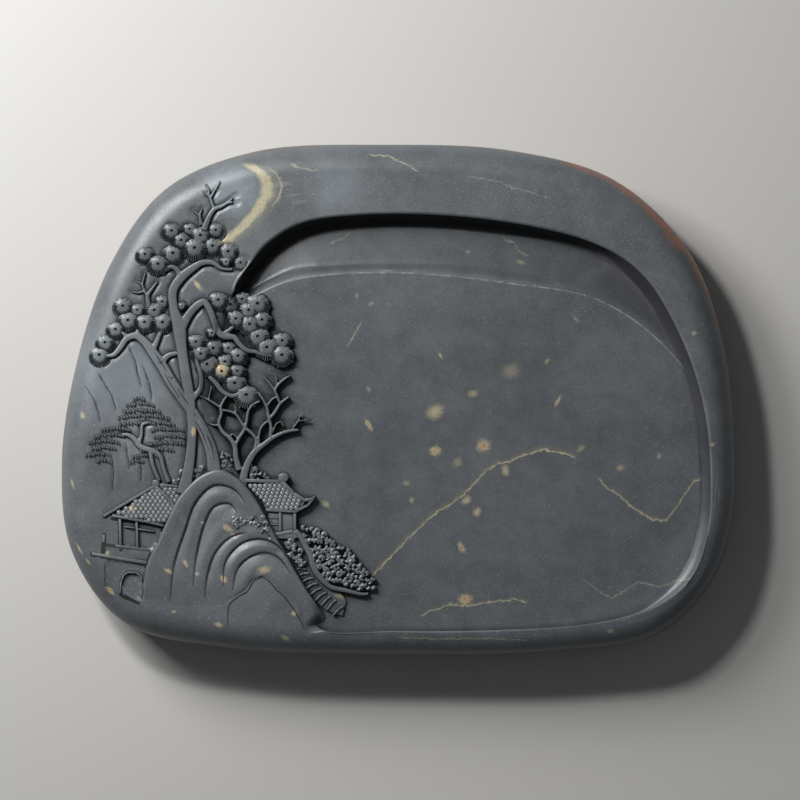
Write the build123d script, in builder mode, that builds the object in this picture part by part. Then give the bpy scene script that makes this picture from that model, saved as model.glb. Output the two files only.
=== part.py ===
from build123d import *
import os
from itertools import pairwise

# A carved inkstone: one slab of fine grey slate, ground to a rounded outline. A well for grinding
# ink is sunk in its face, a deeper pool lies along the far side of the well, under the rim, and a
# landscape of pines, houses and rocks is carved in relief down the left side.
#
# Frame: millimetres, +Z up, origin in the middle of the base. +X is the user's right and +Y is
# the far side, where the pool is. The whole object is one stone, so it is one solid in one node.

# ---- Driving dimensions -----------------------------------------------------------------------

stone_length = 260.0  # left to right
stone_width = 197.0  # near side to far side
rim_height = 30.6  # from the base to the flat of the rim
top_roll = 11.0  # radius that rolls the rim over into the sides
base_roll = 8.0  # radius under the sides

far_rim = 28.4  # width of the rim beyond the pool
near_rim = 10.0
right_rim = 10.5
scene_width = 56.0  # from the left side of the stone to the nearest edge of the well

well_depth = 4.2  # from the rim down to the grinding face
well_cove = 1.6  # radius at the foot of the well's wall
pool_depth = 9.6  # from the rim down to the floor of the pool
lip_overhang = 1.0  # how far the pool is cut in under the rim
pool_lip = 0.3  # how far up the well's wall the overhang starts, above the grinding face


# Heights of the relief above the rim, from the deepest layer to the one that stands out most.
rock_relief = 1.0
leaf_relief = 1.0
house_relief = 1.2
trunk_relief = 1.5
needle_relief = 1.8

fold_width = 1.5  # the rounded grooves that part the folds of the rock
fold_depth = 0.9
cut_width = 0.5  # fine lines cut with the point of a graver
cut_depth = 0.5
window_depth = 0.8  # how far doors and windows are let into the houses
pupil_radius = 0.45  # the drilled dot in each fan of needles
pupil_depth = 0.8

# ---- Places -----------------------------------------------------------------------------------

half_length = stone_length / 2
half_width = stone_width / 2
well_level = rim_height - well_depth
pool_level = rim_height - pool_depth
well_left = -half_length + scene_width
well_right = half_length - right_rim
well_near = -half_width + near_rim
well_far = half_width - far_rim
above = 5.0  # how far a cutting tool starts above what it cuts

# The carving is drawn for a stone of this size, from the middle of its face. It keeps its place
# on the stone's left side and stretches with the width of that side.
drawn_left = -130.0
drawn_scene_width = 56.0
drawn_stone_width = 197.0


def on_stone(x, y):
    """The place on the stone's face of a point of the drawing."""
    across = (x - drawn_left) * scene_width / drawn_scene_width
    return (-half_length + across, y * stone_width / drawn_stone_width)


def in_well(share_x, share_y):
    """A point of the well's outline, from shares of its length and width."""
    x = well_left + share_x * (well_right - well_left)
    return (x, well_near + share_y * (well_far - well_near))


# The stone's outline, as shares of half its length and half its width: a river-worn shape,
# broadest near the user and narrower on the far side.
outline_shares = [
    (0.999, -0.21),
    (0.968, 0.20),
    (0.861, 0.585),
    (0.64, 0.862),
    (0.34, 0.976),
    (-0.04, 1.0),
    (-0.43, 0.972),
    (-0.69, 0.825),
    (-0.85, 0.54),
    (-0.952, 0.15),
    (-0.998, -0.25),
    (-0.966, -0.60),
    (-0.81, -0.875),
    (-0.50, -0.975),
    (0.0, -1.0),
    (0.46, -0.99),
    (0.77, -0.92),
    (0.93, -0.71),
    (0.992, -0.46),
]

# The open side of the well, clockwise from where the pool's far wall meets the pines to where the
# near wall meets the rocks, and then the soft edge that runs back up behind the carving.
well_open_side = [
    (0.054, 0.812),
    (0.083, 0.878),
    (0.145, 0.954),
    (0.227, 0.992),
    (0.382, 1.0),
    (0.589, 0.979),
    (0.744, 0.938),
    (0.848, 0.882),
    (0.92, 0.765),
    (0.966, 0.608),
    (0.998, 0.381),
    (0.992, 0.23),
    (0.941, 0.104),
    (0.837, 0.035),
    (0.641, 0.004),
    (0.382, 0.0),
    (0.222, 0.008),
]
well_scene_side = [
    (0.222, 0.008),
    (0.186, 0.117),
    (0.134, 0.23),
    (0.083, 0.343),
    (0.031, 0.444),
    (0.003, 0.557),
    (0.01, 0.683),
    (0.035, 0.765),
    (0.054, 0.812),
]

# The pool's mouth in the grinding face and its floor, which share one far wall. From the far wall
# the mouth runs down the well's right side to a point and comes back along the grinding face.
pool_far_wall = [
    (0.083, 0.878),
    (0.145, 0.954),
    (0.227, 0.992),
    (0.382, 1.0),
    (0.589, 0.979),
    (0.733, 0.942),
]
pool_mouth_right = [
    (0.733, 0.942),
    (0.79, 0.915),
    (0.845, 0.865),
    (0.892, 0.765),
    (0.93, 0.64),
    (0.945, 0.6),
]
pool_mouth_front = [
    (0.945, 0.6),
    (0.896, 0.655),
    (0.848, 0.72),
    (0.744, 0.79),
    (0.641, 0.805),
    (0.485, 0.84),
    (0.382, 0.852),
    (0.202, 0.845),
    (0.124, 0.83),
    (0.083, 0.878),
]
pool_floor_right = [
    (0.733, 0.942),
    (0.742, 0.9),
    (0.73, 0.862),
    (0.705, 0.85),
]
pool_floor_front = [
    (0.705, 0.85),
    (0.63, 0.856),
    (0.57, 0.87),
    (0.485, 0.886),
    (0.382, 0.884),
    (0.202, 0.862),
    (0.13, 0.85),
    (0.083, 0.878),
]

# ---- The drawing: pines, bare tree, houses, rock, path and shrubs ------------------------------

# A stroke is a run of points (x, y, radius), so a trunk tapers from its foot to its tip.
tall_pine = [
    [(-83, -35, 2.5), (-80, -27, 2.0), (-79, -15, 1.7), (-79.3, -3, 1.9), (-81.3, 9, 2.0)],
    [(-81.3, 9, 2.0), (-83.2, 20, 2.1), (-84.2, 29, 2.4), (-86, 36, 1.6), (-86.3, 42, 1.6)],
    [(-86.3, 42, 1.6), (-83, 46.8, 1.7), (-78.5, 51, 1.4), (-75, 52.8, 1.1), (-71, 52.3, 0.9)],
    [(-71, 52.3, 0.9), (-68, 50, 0.6), (-64, 49.6, 0.5), (-60, 50.4, 0.4)],
    [(-83, 46.8, 1.1), (-85.5, 50.2, 0.9), (-88.5, 50.5, 0.6), (-91.5, 48.8, 0.5)],
    [(-83.5, 29, 1.9), (-80, 33.5, 1.5), (-76, 37.4, 1.4), (-73, 35.8, 1.2), (-70.8, 31, 1.2)],
    [(-70.8, 31, 1.2), (-69, 26.2, 1.3), (-65.5, 24.3, 1.1), (-62, 22.6, 1.0), (-59, 19.2, 0.9)],
    [(-59, 19.2, 0.9), (-55, 18.4, 0.7), (-51.5, 17, 0.6), (-48, 17, 0.5)],
    [(-67.5, 25, 0.9), (-64, 28.3, 0.6), (-62, 30, 0.5)],
]
tall_pine_twigs = [
    [(-74.6, 65, 1.2), (-73, 69.5, 0.9), (-70.6, 73, 0.8), (-67.5, 74.3, 0.6), (-62, 76, 0.3)],
    [(-70.6, 73, 0.6), (-72, 76.5, 0.5), (-73.4, 78.8, 0.4), (-75, 80.2, 0.3)],
    [(-72.2, 77, 0.5), (-70.4, 80, 0.4), (-68.4, 83.6, 0.3)],
    [(-75.4, 67.5, 0.7), (-76, 70.8, 0.5), (-78.4, 72.3, 0.3)],
]
left_pine = [
    [(-70.5, -26, 2.5), (-73.5, -14, 2.0), (-78, -6, 2.0), (-83, 1, 2.0), (-87.2, 7.5, 2.1)],
    [(-87.2, 7.5, 2.1), (-90.6, 13.5, 2.1), (-94.4, 18.6, 1.7), (-97.5, 22, 1.5)],
    [(-97.5, 22, 1.5), (-101, 24.3, 1.3), (-104.5, 23, 1.1), (-107, 19, 0.9), (-112, 16.8, 0.6)],
    [(-94.6, 19, 1.2), (-92.6, 23, 0.9), (-90, 27, 0.6)],
    [(-90.8, 14, 1.1), (-88, 17, 0.9), (-85.5, 17.8, 0.8)],
    [(-95.6, 36, 0.9), (-96, 40, 0.8), (-94, 43, 0.5), (-92.4, 45, 0.3)],
    [(-96, 40, 0.6), (-98, 43.5, 0.4), (-97, 48.5, 0.3)],
]
bare_tree = [
    [(-60.2, -31, 2.0), (-59.6, -25, 1.7), (-57, -20, 1.5), (-54, -16, 1.3), (-50.5, -13.8, 1.0)],
    [(-50.5, -13.8, 1.0), (-46, -12, 0.8), (-40.5, -11.7, 0.6)],
    [(-42.8, -11.7, 0.5), (-40.5, -8.4, 0.4), (-36, -7.6, 0.3)],
    [(-61.4, -26, 1.4), (-64, -20, 1.2), (-66, -15, 1.0), (-68.8, -11, 0.9), (-69.8, -4, 0.8)],
    [(-69.8, -4, 0.8), (-71.8, 0.6, 0.6), (-77, 1.2, 0.4)],
    [(-66, -15, 0.9), (-72, -11.3, 0.6), (-75.5, -9, 0.4)],
    [(-64.2, -18.5, 1.0), (-61.2, -12.5, 0.8), (-60.6, -7, 0.7), (-58.6, -1.5, 0.6)],
    [(-57.4, -20, 1.0), (-56, -14, 0.9), (-57.5, -10.5, 0.7), (-62.2, -5.4, 0.6)],
    [(-62.2, -5.4, 0.6), (-65, -4.6, 0.5), (-69, -4.4, 0.4)],
    [(-51.6, -14, 1.0), (-50.4, -9.5, 0.8), (-51.6, -5, 0.8), (-48.8, -1, 0.8), (-44, 1.6, 0.5)],
    [(-49, -0.8, 0.8), (-49, 4.6, 0.6), (-46.2, 7, 0.5), (-43, 8.8, 0.4)],
    [(-49, 4.6, 0.6), (-52.4, 8.8, 0.4)],
]

# Each fan of needles is (x, y, radius): the nearer ones stand out over those behind them.
far_needles = [
    (-86.8, 64, 3.3),
    (-80, 64.8, 2.9),
    (-70, 64.2, 3.2),
    (-60.6, 51.8, 3.3),
    (-97, 55, 3.2),
    (-105.5, 35.2, 3.4),
    (-100, 33.8, 2.9),
    (-93.5, 33.6, 3.4),
    (-90.5, 37, 2.9),
    (-108.3, 26.3, 3.2),
    (-69, 37.5, 3.4),
    (-60, 38, 3.0),
    (-54, 36, 4.0),
    (-52.3, 30, 3.4),
    (-44.6, 22, 3.3),
    (-65.2, 19.2, 2.9),
    (-75.7, 17, 3.2),
    (-66.5, 14, 3.1),
    (-61.8, 10.5, 2.9),
]
near_needles = [
    (-83.2, 60.4, 3.2),
    (-75.8, 62.2, 3.6),
    (-71.2, 58.2, 3.4),
    (-78, 57.3, 3.9),
    (-86.3, 55.3, 3.9),
    (-65.2, 56, 3.6),
    (-92, 51.2, 3.6),
    (-103.5, 29.7, 3.5),
    (-97.2, 29, 3.4),
    (-90.3, 28.9, 3.5),
    (-112.3, 21.3, 3.2),
    (-114.5, 16.5, 3.5),
    (-64.4, 35.8, 3.4),
    (-57.4, 33.6, 3.5),
    (-62.3, 30.4, 3.3),
    (-57, 28.2, 3.7),
    (-54, 23.5, 3.8),
    (-50.5, 19.3, 3.9),
    (-44.7, 16.3, 3.8),
    (-77.6, 21.5, 3.3),
    (-71, 19, 3.6),
    (-61.5, 16.2, 3.3),
    (-73.3, 12.8, 3.8),
    (-67.7, 10.2, 3.4),
    (-62.7, 5.6, 3.9),
    (-58.3, 1, 4.2),
]
pupil_offset = 0.45  # the dot lies above the fan's middle by this share of its radius

# Flat sprays of the old pine, each a thick line from (x, y) to (x, y).
spray_radius = 1.35
sprays = [
    ((-101.5, 0.6), (-97.5, 0.8)),
    ((-104, -2.4), (-93.5, -1.8)),
    ((-106.5, -5), (-89, -4.6)),
    ((-107.5, -7.8), (-86.5, -7.6)),
    ((-114.5, -10.8), (-101, -10.4)),
    ((-93, -10.4), (-84, -11)),
    ((-118, -13.6), (-104, -13)),
    ((-95, -13.4), (-83, -14)),
    ((-117.5, -16.4), (-108, -16)),
    ((-98, -16.4), (-84, -16.6)),
    ((-119, -19.4), (-110, -18.8)),
    ((-100, -19.4), (-88, -19)),
    ((-116.5, -22.4), (-112, -22)),
    ((-102, -22.2), (-95.5, -22.4)),
]
old_pine = [
    [(-88.5, -31, 0.9), (-90.8, -23, 0.9), (-93.5, -19.5, 1.0), (-97.4, -18, 1.1)],
    [(-97.4, -18, 1.1), (-100.4, -15.2, 1.0), (-104.5, -14.4, 0.7)],
    [(-92.5, -31, 0.8), (-94.6, -24, 0.8), (-95, -20, 0.8)],
]

rock_outline = [
    (-103, -87),
    (-99.5, -78),
    (-97, -64),
    (-92.5, -54),
    (-88, -44),
    (-84, -36),
    (-77.5, -29.5),
    (-70, -26),
    (-63.5, -28.6),
    (-57.5, -35),
    (-52.5, -42),
    (-49, -50),
    (-44, -57.5),
    (-40, -66),
    (-35.5, -74),
    (-30, -82),
    (-34, -88),
    (-66, -91),
]
rock_folds = [
    [(-89, -74), (-86.5, -60), (-82, -47), (-75.5, -37), (-68, -32.6), (-61.5, -35), (-57, -42)],
    [(-78, -62), (-75.5, -51), (-71, -43), (-66, -38.6)],
    [(-76.5, -72), (-75, -60), (-70, -54), (-64, -51.6)],
    [(-70, -70), (-66, -60), (-59, -55.6), (-53, -57), (-47.5, -63)],
    [(-64, -79), (-60, -73.5), (-54, -66.8), (-47.5, -71.5), (-41, -80)],
]

left_roof = [(-112, -43.4), (-93, -31.6), (-86, -32.2), (-84, -41), (-88, -47.6), (-98, -46), (-108, -44.6)]
left_house = [(-107.4, -44.6), (-96, -46), (-88, -47.6), (-95, -58), (-107.4, -55.4)]
balcony = [(-113.4, -54.6), (-95, -57.4), (-97.4, -62.4), (-117, -59.4), (-117, -58.6), (-113.4, -58.8)]
gatehouse = [(-111, -61), (-97.4, -62.8), (-99.4, -78), (-111, -73.2)]
left_windows = [
    [(-105.8, -46.2), (-101, -47), (-101, -54.8), (-105.8, -54)],
    [(-99.2, -48.4), (-94.6, -49.4), (-96, -55.4), (-99.2, -55)],
    [(-106.4, -73.4), (-105.6, -68), (-104, -66.4), (-99.8, -66.6), (-98.8, -68), (-100.2, -75.8)],
]

right_roof = [
    (-58, -29.6),
    (-46, -30.2),
    (-44, -28),
    (-42, -29.8),
    (-42.2, -32.4),
    (-37, -37.8),
    (-32.4, -37.4),
    (-34, -40.6),
    (-38.6, -43),
    (-50.6, -42.6),
    (-54, -37),
]
right_house = [(-50.4, -42.4), (-39, -42.8), (-39, -50), (-49.6, -50.6)]
right_windows = [[(-49.6, -43.8), (-46.2, -43.8), (-46.2, -49.4), (-49.6, -49.4)],
                 [(-44.4, -43.8), (-40.6, -43.8), (-40.6, -49.2), (-44.4, -49.4)]]

path = [(-48.6, -50), (-39, -49.6), (-34, -60), (-29.5, -68), (-22.5, -72.5), (-21, -81.5), (-26.5, -80.5), (-36, -71)]
path_wall = [(-38.6, -50.4, 0.9), (-35, -58, 0.9), (-33, -64, 0.9), (-28.6, -70, 0.9), (-23, -72.9, 0.8), (-12.5, -74.4, 0.6)]
steps = [
    ((-39.6, -66), (-35.6, -65.4)),
    ((-37.6, -69.4), (-33.2, -68)),
    ((-35.8, -71.8), (-31.2, -70.4)),
    ((-33.6, -74.6), (-29, -72.8)),
    ((-30.4, -77.2), (-26, -75)),
    ((-28, -79.4), (-24, -77)),
    ((-26, -81.4), (-22, -78.6)),
]
step_radius = 0.5
thicket = [(-38, -47.6), (-26, -51), (-18, -58), (-14, -65), (-8.6, -68.4), (-12.5, -74), (-23, -72), (-31, -64), (-36, -54)]
hedges = [
    [(-45.6, -55.4), (-40.4, -53), (-36.4, -59), (-34.8, -64.2), (-39.6, -65)],
    [(-64, -46), (-60, -44.6), (-50.4, -45), (-49.4, -50), (-57, -49), (-63, -48.6)],
    [(-58.6, -24.6), (-50, -27.6), (-50, -29.8), (-58.6, -29.8)],
]

# Lines of the cliff and the waterfall behind the trees.
cliff_lines = [
    [(-115.5, 11), (-112, 5), (-109.2, 1), (-108, -3)],
    [(-103.4, 20), (-100.8, 15), (-99, 9), (-98.4, 4)],
    [(-98, 13), (-96, 8), (-94.6, 3)],
    [(-120, 5), (-117, 1), (-115, -4), (-114, -8)],
    [(-110, -24), (-109, -29), (-109.4, -36)],
    [(-98.6, -25), (-98.4, -33)],
]

# ---- Shapes -----------------------------------------------------------------------------------


def draw_outline():
    """The stone's outline, filled, stretched to the stone's length and width."""
    with BuildLine() as curve:
        Spline(*[(x * half_length, y * half_width) for x, y in outline_shares], periodic=True)
    box = curve.line.bounding_box()
    middle, size = box.center(), box.size
    share = Vector(stone_length / size.X, stone_width / size.Y)
    with BuildLine() as fitted:
        Spline(
            *[
                ((x * half_length - middle.X) * share.X, (y * half_width - middle.Y) * share.Y)
                for x, y in outline_shares
            ],
            periodic=True,
        )
    make_face(fitted.edges())


def draw_well():
    """The well's outline, filled."""
    with BuildLine() as curve:
        Spline(*[in_well(*share) for share in well_open_side])
        Spline(*[in_well(*share) for share in well_scene_side])
    make_face(curve.edges())


def draw_pool(far_wall, right, front):
    """One level of the pool, filled: the far wall is cut in under the rim and fades to the right."""
    with BuildLine() as curve:
        for run in (far_wall, right, front):
            Spline(*[under_rim(*share) for share in run])
    make_face(curve.edges())


def under_rim(share_x, share_y):
    """A point of the pool, moved in under the rim if it lies on the far wall."""
    x, y = in_well(share_x, share_y)
    return (x, y + lip_overhang) if (share_x, share_y) in pool_far_wall else (x, y)


def draw_patch(points):
    """A straight-sided patch of the drawing."""
    with BuildLine() as edge:
        Polyline(*[on_stone(*point) for point in points], close=True)
    make_face(edge.edges())


def draw_stroke(points):
    """A tapering stroke with round ends and joints."""
    placed = [(*on_stone(x, y), radius) for x, y, radius in points]
    for x, y, radius in placed:
        with Locations((x, y)):
            Circle(radius)
    for start, end in pairwise(placed):
        draw_taper(start, end)


def draw_taper(start, end):
    """The tapered length between the two round ends of a stroke."""
    along = (Vector(end[0], end[1]) - Vector(start[0], start[1])).normalized()
    side = Vector(-along.Y, along.X)
    first, last = Vector(start[0], start[1]), Vector(end[0], end[1])
    corners = [first + side * start[2], last + side * end[2], last - side * end[2], first - side * start[2]]
    with BuildLine() as edge:
        Polyline(*corners, close=True)
    make_face(edge.edges())


def line_to_stroke(points, radius):
    """A stroke of one width."""
    return [(x, y, radius) for x, y in points]


def stone_block(height):
    """The slab before it is carved: the outline pulled up to a height, with both edges rolled."""
    with BuildPart() as block:
        with BuildSketch():
            draw_outline()
        extrude(amount=height)
        fillet(block.faces().sort_by(Axis.Z)[-1].edges(), top_roll)
        fillet(block.faces().sort_by(Axis.Z)[0].edges(), base_roll)
    return block.part


def raised(sketch, height):
    """A layer of the relief: it stands on the well's floor and follows the stone's rolled edge."""
    with BuildPart() as layer:
        add(sketch)
        extrude(amount=well_depth + above)
        add(stone_block(rim_height + height), mode=Mode.INTERSECT)
    return layer.part


def relief_plane():
    """The level that every layer of the relief grows from, inside the stone."""
    return Plane.XY.offset(well_level - 0.5)


def cut_plane(depth):
    return Plane.XY.offset(rim_height - depth)


# ---- The stone --------------------------------------------------------------------------------

# The hollow: the well, and the pool that goes deeper along its far side.
with BuildPart() as well:
    with BuildSketch(Plane.XY.offset(well_level)):
        draw_well()
    extrude(amount=well_depth + above)
    fillet(well.faces().sort_by(Axis.Z)[0].edges(), well_cove)

with BuildPart() as pool:
    with BuildSketch(Plane.XY.offset(pool_level)):
        draw_pool(pool_far_wall, pool_floor_right, pool_floor_front)
    with BuildSketch(Plane.XY.offset(well_level + pool_lip)):
        draw_pool(pool_far_wall, pool_mouth_right, pool_mouth_front)
    loft(ruled=True)

# The relief, one layer for each height.
with BuildPart() as land:
    with BuildSketch(relief_plane()) as land_plan:
        with BuildLine() as rock_edge:
            Spline(*[on_stone(*point) for point in rock_outline], periodic=True)
        make_face(rock_edge.edges())
        for patch in (thicket, *hedges, path):
            draw_patch(patch)
    add(raised(land_plan.sketch, rock_relief))

with BuildPart() as leaves:
    with BuildSketch(relief_plane()) as leaf_plan:
        for start, end in sprays:
            draw_stroke(line_to_stroke([start, end], spray_radius))
        for stroke in old_pine:
            draw_stroke(stroke)
    add(raised(leaf_plan.sketch, leaf_relief))

with BuildPart() as houses:
    with BuildSketch(relief_plane()) as house_plan:
        for patch in (left_roof, left_house, balcony, gatehouse, right_roof, right_house):
            draw_patch(patch)
        draw_stroke(path_wall)
    add(raised(house_plan.sketch, house_relief))

with BuildPart() as trunks:
    with BuildSketch(relief_plane()) as trunk_plan:
        for stroke in (*tall_pine, *tall_pine_twigs, *left_pine, *bare_tree):
            draw_stroke(stroke)
    add(raised(trunk_plan.sketch, trunk_relief))

with BuildPart() as needles:
    with BuildSketch(relief_plane()) as far_plan:
        for x, y, radius in far_needles:
            with Locations(on_stone(x, y)):
                Circle(radius)
    add(raised(far_plan.sketch, trunk_relief))
    with BuildSketch(relief_plane()) as near_plan:
        for x, y, radius in near_needles:
            with Locations(on_stone(x, y)):
                Circle(radius)
    add(raised(near_plan.sketch, needle_relief))

# What is cut back into the relief: folds of rock, doors and windows, the risers of the steps, the
# lines of the cliff, and the dots of the needle fans.
with BuildPart() as folds:
    with BuildSketch(cut_plane(fold_depth - rock_relief)):
        for fold in rock_folds:
            draw_stroke(line_to_stroke(fold, fold_width / 2))
    extrude(amount=above)

with BuildPart() as openings:
    with BuildSketch(cut_plane(window_depth - house_relief)):
        for window in (*left_windows, *right_windows):
            draw_patch(window)
    extrude(amount=above)

with BuildPart() as risers:
    with BuildSketch(cut_plane(cut_depth - rock_relief)):
        for start, end in steps:
            draw_stroke(line_to_stroke([start, end], step_radius))
    extrude(amount=above)

with BuildPart() as graver_lines:
    with BuildSketch(cut_plane(cut_depth)):
        for line in cliff_lines:
            draw_stroke(line_to_stroke(line, cut_width / 2))
    extrude(amount=above)

with BuildPart() as pupils:
    for fans, relief in ((far_needles, trunk_relief), (near_needles, needle_relief)):
        with BuildSketch(cut_plane(pupil_depth - relief)):
            for x, y, radius in fans:
                with Locations(on_stone(x, y + radius * pupil_offset)):
                    Circle(pupil_radius)
        extrude(amount=above)

with BuildPart() as inkstone:
    add(stone_block(rim_height))
    add(well.part, mode=Mode.SUBTRACT)
    add(pool.part, mode=Mode.SUBTRACT)
    add(land.part)
    add(leaves.part)
    add(houses.part)
    add(trunks.part)
    add(needles.part)
    add(folds.part, mode=Mode.SUBTRACT)
    add(openings.part, mode=Mode.SUBTRACT)
    add(risers.part, mode=Mode.SUBTRACT)
    add(graver_lines.part, mode=Mode.SUBTRACT)
    add(pupils.part, mode=Mode.SUBTRACT)

inkstone.part.label = "inkstone"
os.makedirs("parts", exist_ok=True)
export_step(inkstone.part, "parts/inkstone.step")
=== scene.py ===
import bpy
import math
import random
import numpy as np
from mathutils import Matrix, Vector


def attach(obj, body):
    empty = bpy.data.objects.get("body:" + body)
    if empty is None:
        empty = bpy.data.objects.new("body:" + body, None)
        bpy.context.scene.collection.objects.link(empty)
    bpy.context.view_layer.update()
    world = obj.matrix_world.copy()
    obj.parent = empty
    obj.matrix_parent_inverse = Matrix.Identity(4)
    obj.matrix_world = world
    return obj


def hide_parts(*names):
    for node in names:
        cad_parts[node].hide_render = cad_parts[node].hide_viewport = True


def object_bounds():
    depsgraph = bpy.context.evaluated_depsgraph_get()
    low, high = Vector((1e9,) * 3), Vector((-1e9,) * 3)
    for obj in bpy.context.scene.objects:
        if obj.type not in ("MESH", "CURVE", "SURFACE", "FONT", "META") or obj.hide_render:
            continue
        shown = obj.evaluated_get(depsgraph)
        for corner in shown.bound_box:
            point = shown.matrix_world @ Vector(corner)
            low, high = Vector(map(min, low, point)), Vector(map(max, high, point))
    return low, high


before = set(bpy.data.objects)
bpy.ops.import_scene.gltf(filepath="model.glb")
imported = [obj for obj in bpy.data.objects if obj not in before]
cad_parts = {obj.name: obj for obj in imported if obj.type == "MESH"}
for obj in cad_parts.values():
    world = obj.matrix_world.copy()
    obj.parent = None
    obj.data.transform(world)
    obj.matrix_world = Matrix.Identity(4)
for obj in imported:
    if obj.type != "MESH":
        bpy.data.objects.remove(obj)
cadLow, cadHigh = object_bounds()
mm = 0.001
rng = random.Random(11)

# shared sizes, in mm
stone = {
    "rimTop": 30.6,
    "topRoll": 11.0,
    "baseRoll": 8.0,
    "wellDepth": 4.2,
    "poolDepth": 9.6,
    "poolFloorRise": 0.5,  # how far the pool's floor has risen where it meets the slope
    "heart": (20.0, -10.0),  # the columns of the body fan out from here
    "columns": 560,
    "sceneFrom": 128.0,  # the carved side, as seen from the heart, in degrees
    "sceneTo": 246.0,
    "sceneDensity": 4.2,
    "dish": 0.8,  # how far the ground of the scene is cut below the rim
    "overWell": 1.9,  # the carving stands this far below the rim where it hangs over the well
    "crown": 0.35,  # how far the face sinks from the roll towards the middle
    "sceneHeart": (-82.0, -2.0),
    "sceneReach": (46.0, 94.0),
}

outlinePoints = [
    (129.9, -20.7), (125.8, 19.7), (111.9, 57.6), (83.2, 84.9), (44.2, 96.1), (-5.2, 98.5), (-55.9, 95.7),
    (-89.7, 81.3), (-110.5, 53.2), (-123.8, 14.8), (-129.7, -24.6), (-125.6, -59.1), (-105.3, -86.2),
    (-65, -96), (0, -98.5), (59.8, -97.5), (100.1, -90.6), (120.9, -69.9), (129, -45.3),
]
wellPoints = [
    (-63.5, 40), (-62, 44.5), (-58, 50.5), (-50, 60), (-37, 67.6), (-15, 70.8), (15, 70.8), (45, 67.5), (70, 61.7),
    (85, 55), (95, 46.5), (103, 34.5), (112, 15), (117.5, -5), (119.5, -25), (118.5, -50), (112, -68), (98, -79),
    (75, -85.5), (40, -88), (0, -88.4), (-31, -87), (-36, -72), (-48, -52), (-58, -33), (-70, -15), (-74, 0),
    (-72, 15), (-68, 30),
]
plateauPoints = [
    (-59, 37), (-50, 42.4), (-40.7, 45.9), (-25.7, 48.1), (1.4, 48.7), (25, 47), (46.5, 44.2), (60, 42.5), (70, 40.6),
    (78.5, 37.6), (92, 29.4), (100, 22.6), (106, 16.6), (110, 11), (112.6, 6.4),
]
poolFrontPoints = [
    (-60, 40.6), (-50, 46.4), (-40.7, 50.6), (-27, 51.8), (1.4, 52.6), (30.4, 52), (48, 49.4), (58, 47.4), (64, 46.9),
    (69, 47.6), (74, 49.6), (79, 51.2), (84, 51.4),
]


def curveThrough(points, closed=False, steps=14):
    pts = np.array(points, float)
    count = len(pts)
    made = []
    for i in range(count if closed else count - 1):
        if closed:
            quad = [pts[(i + k) % count] for k in (-1, 0, 1, 2)]
        else:
            first = pts[i - 1] if i else 2 * pts[0] - pts[1]
            last = pts[i + 2] if i + 2 < count else 2 * pts[-1] - pts[-2]
            quad = [first, pts[i], pts[i + 1], last]
        knots = [0.0]
        for k in range(3):
            knots.append(knots[-1] + max(np.linalg.norm(quad[k + 1][:2] - quad[k][:2]), 1e-6) ** 0.5)
        t0, t1, t2, t3 = knots
        t = np.linspace(t1, t2, steps, endpoint=False)[:, None]
        a1 = (t1 - t) / (t1 - t0) * quad[0] + (t - t0) / (t1 - t0) * quad[1]
        a2 = (t2 - t) / (t2 - t1) * quad[1] + (t - t1) / (t2 - t1) * quad[2]
        a3 = (t3 - t) / (t3 - t2) * quad[2] + (t - t2) / (t3 - t2) * quad[3]
        b1 = (t2 - t) / (t2 - t0) * a1 + (t - t0) / (t2 - t0) * a2
        b2 = (t3 - t) / (t3 - t1) * a2 + (t - t1) / (t3 - t1) * a3
        made.append((t2 - t) / (t2 - t1) * b1 + (t - t1) / (t2 - t1) * b2)
    curve = np.concatenate(made)
    return curve if closed else np.vstack([curve, pts[-1]])


def smooth(low, high, value):
    t = np.clip((np.asarray(value, float) - low) / (high - low), 0, 1)
    return t * t * (3 - 2 * t)


def mix(a, b, t):
    return a + (b - a) * t


def distanceTo(line, x, y):  # from points to a run of points; also the share along it
    x, y = np.asarray(x, float), np.asarray(y, float)
    best = np.full(x.shape, 1e9)
    share = np.zeros(x.shape)
    line = np.asarray(line, float)[:, :2]
    for i in range(len(line) - 1):
        a, b = line[i], line[i + 1]
        d = b - a
        t = np.clip(((x - a[0]) * d[0] + (y - a[1]) * d[1]) / max(d @ d, 1e-9), 0, 1)
        gap = np.hypot(x - a[0] - t * d[0], y - a[1] - t * d[1])
        nearer = gap < best
        best = np.where(nearer, gap, best)
        share = np.where(nearer, (i + t) / (len(line) - 1), share)
    return best, share


def inside(loop, x, y):
    x, y = np.asarray(x, float), np.asarray(y, float)
    hit = np.zeros(x.shape, bool)
    px, py = loop[:, 0], loop[:, 1]
    for i in range(len(loop)):
        j = i - 1
        crosses = (py[i] > y) != (py[j] > y)
        with np.errstate(divide="ignore", invalid="ignore"):
            at = (px[j] - px[i]) * (y - py[i]) / (py[j] - py[i] if py[j] != py[i] else 1e-9) + px[i]
        hit ^= crosses & (x < at)
    return hit


outlineLoop = curveThrough(outlinePoints, closed=True, steps=24)
lowX, highX = outlineLoop[:, 0].min(), outlineLoop[:, 0].max()
lowY, highY = outlineLoop[:, 1].min(), outlineLoop[:, 1].max()
outlineLoop[:, 0] = (outlineLoop[:, 0] - (lowX + highX) / 2) * (cadHigh[0] - cadLow[0]) / mm / (highX - lowX)
outlineLoop[:, 1] = (outlineLoop[:, 1] - (lowY + highY) / 2) * (cadHigh[1] - cadLow[1]) / mm / (highY - lowY)
wellLoop = curveThrough(wellPoints, closed=True, steps=14)
print("curves ready")

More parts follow.
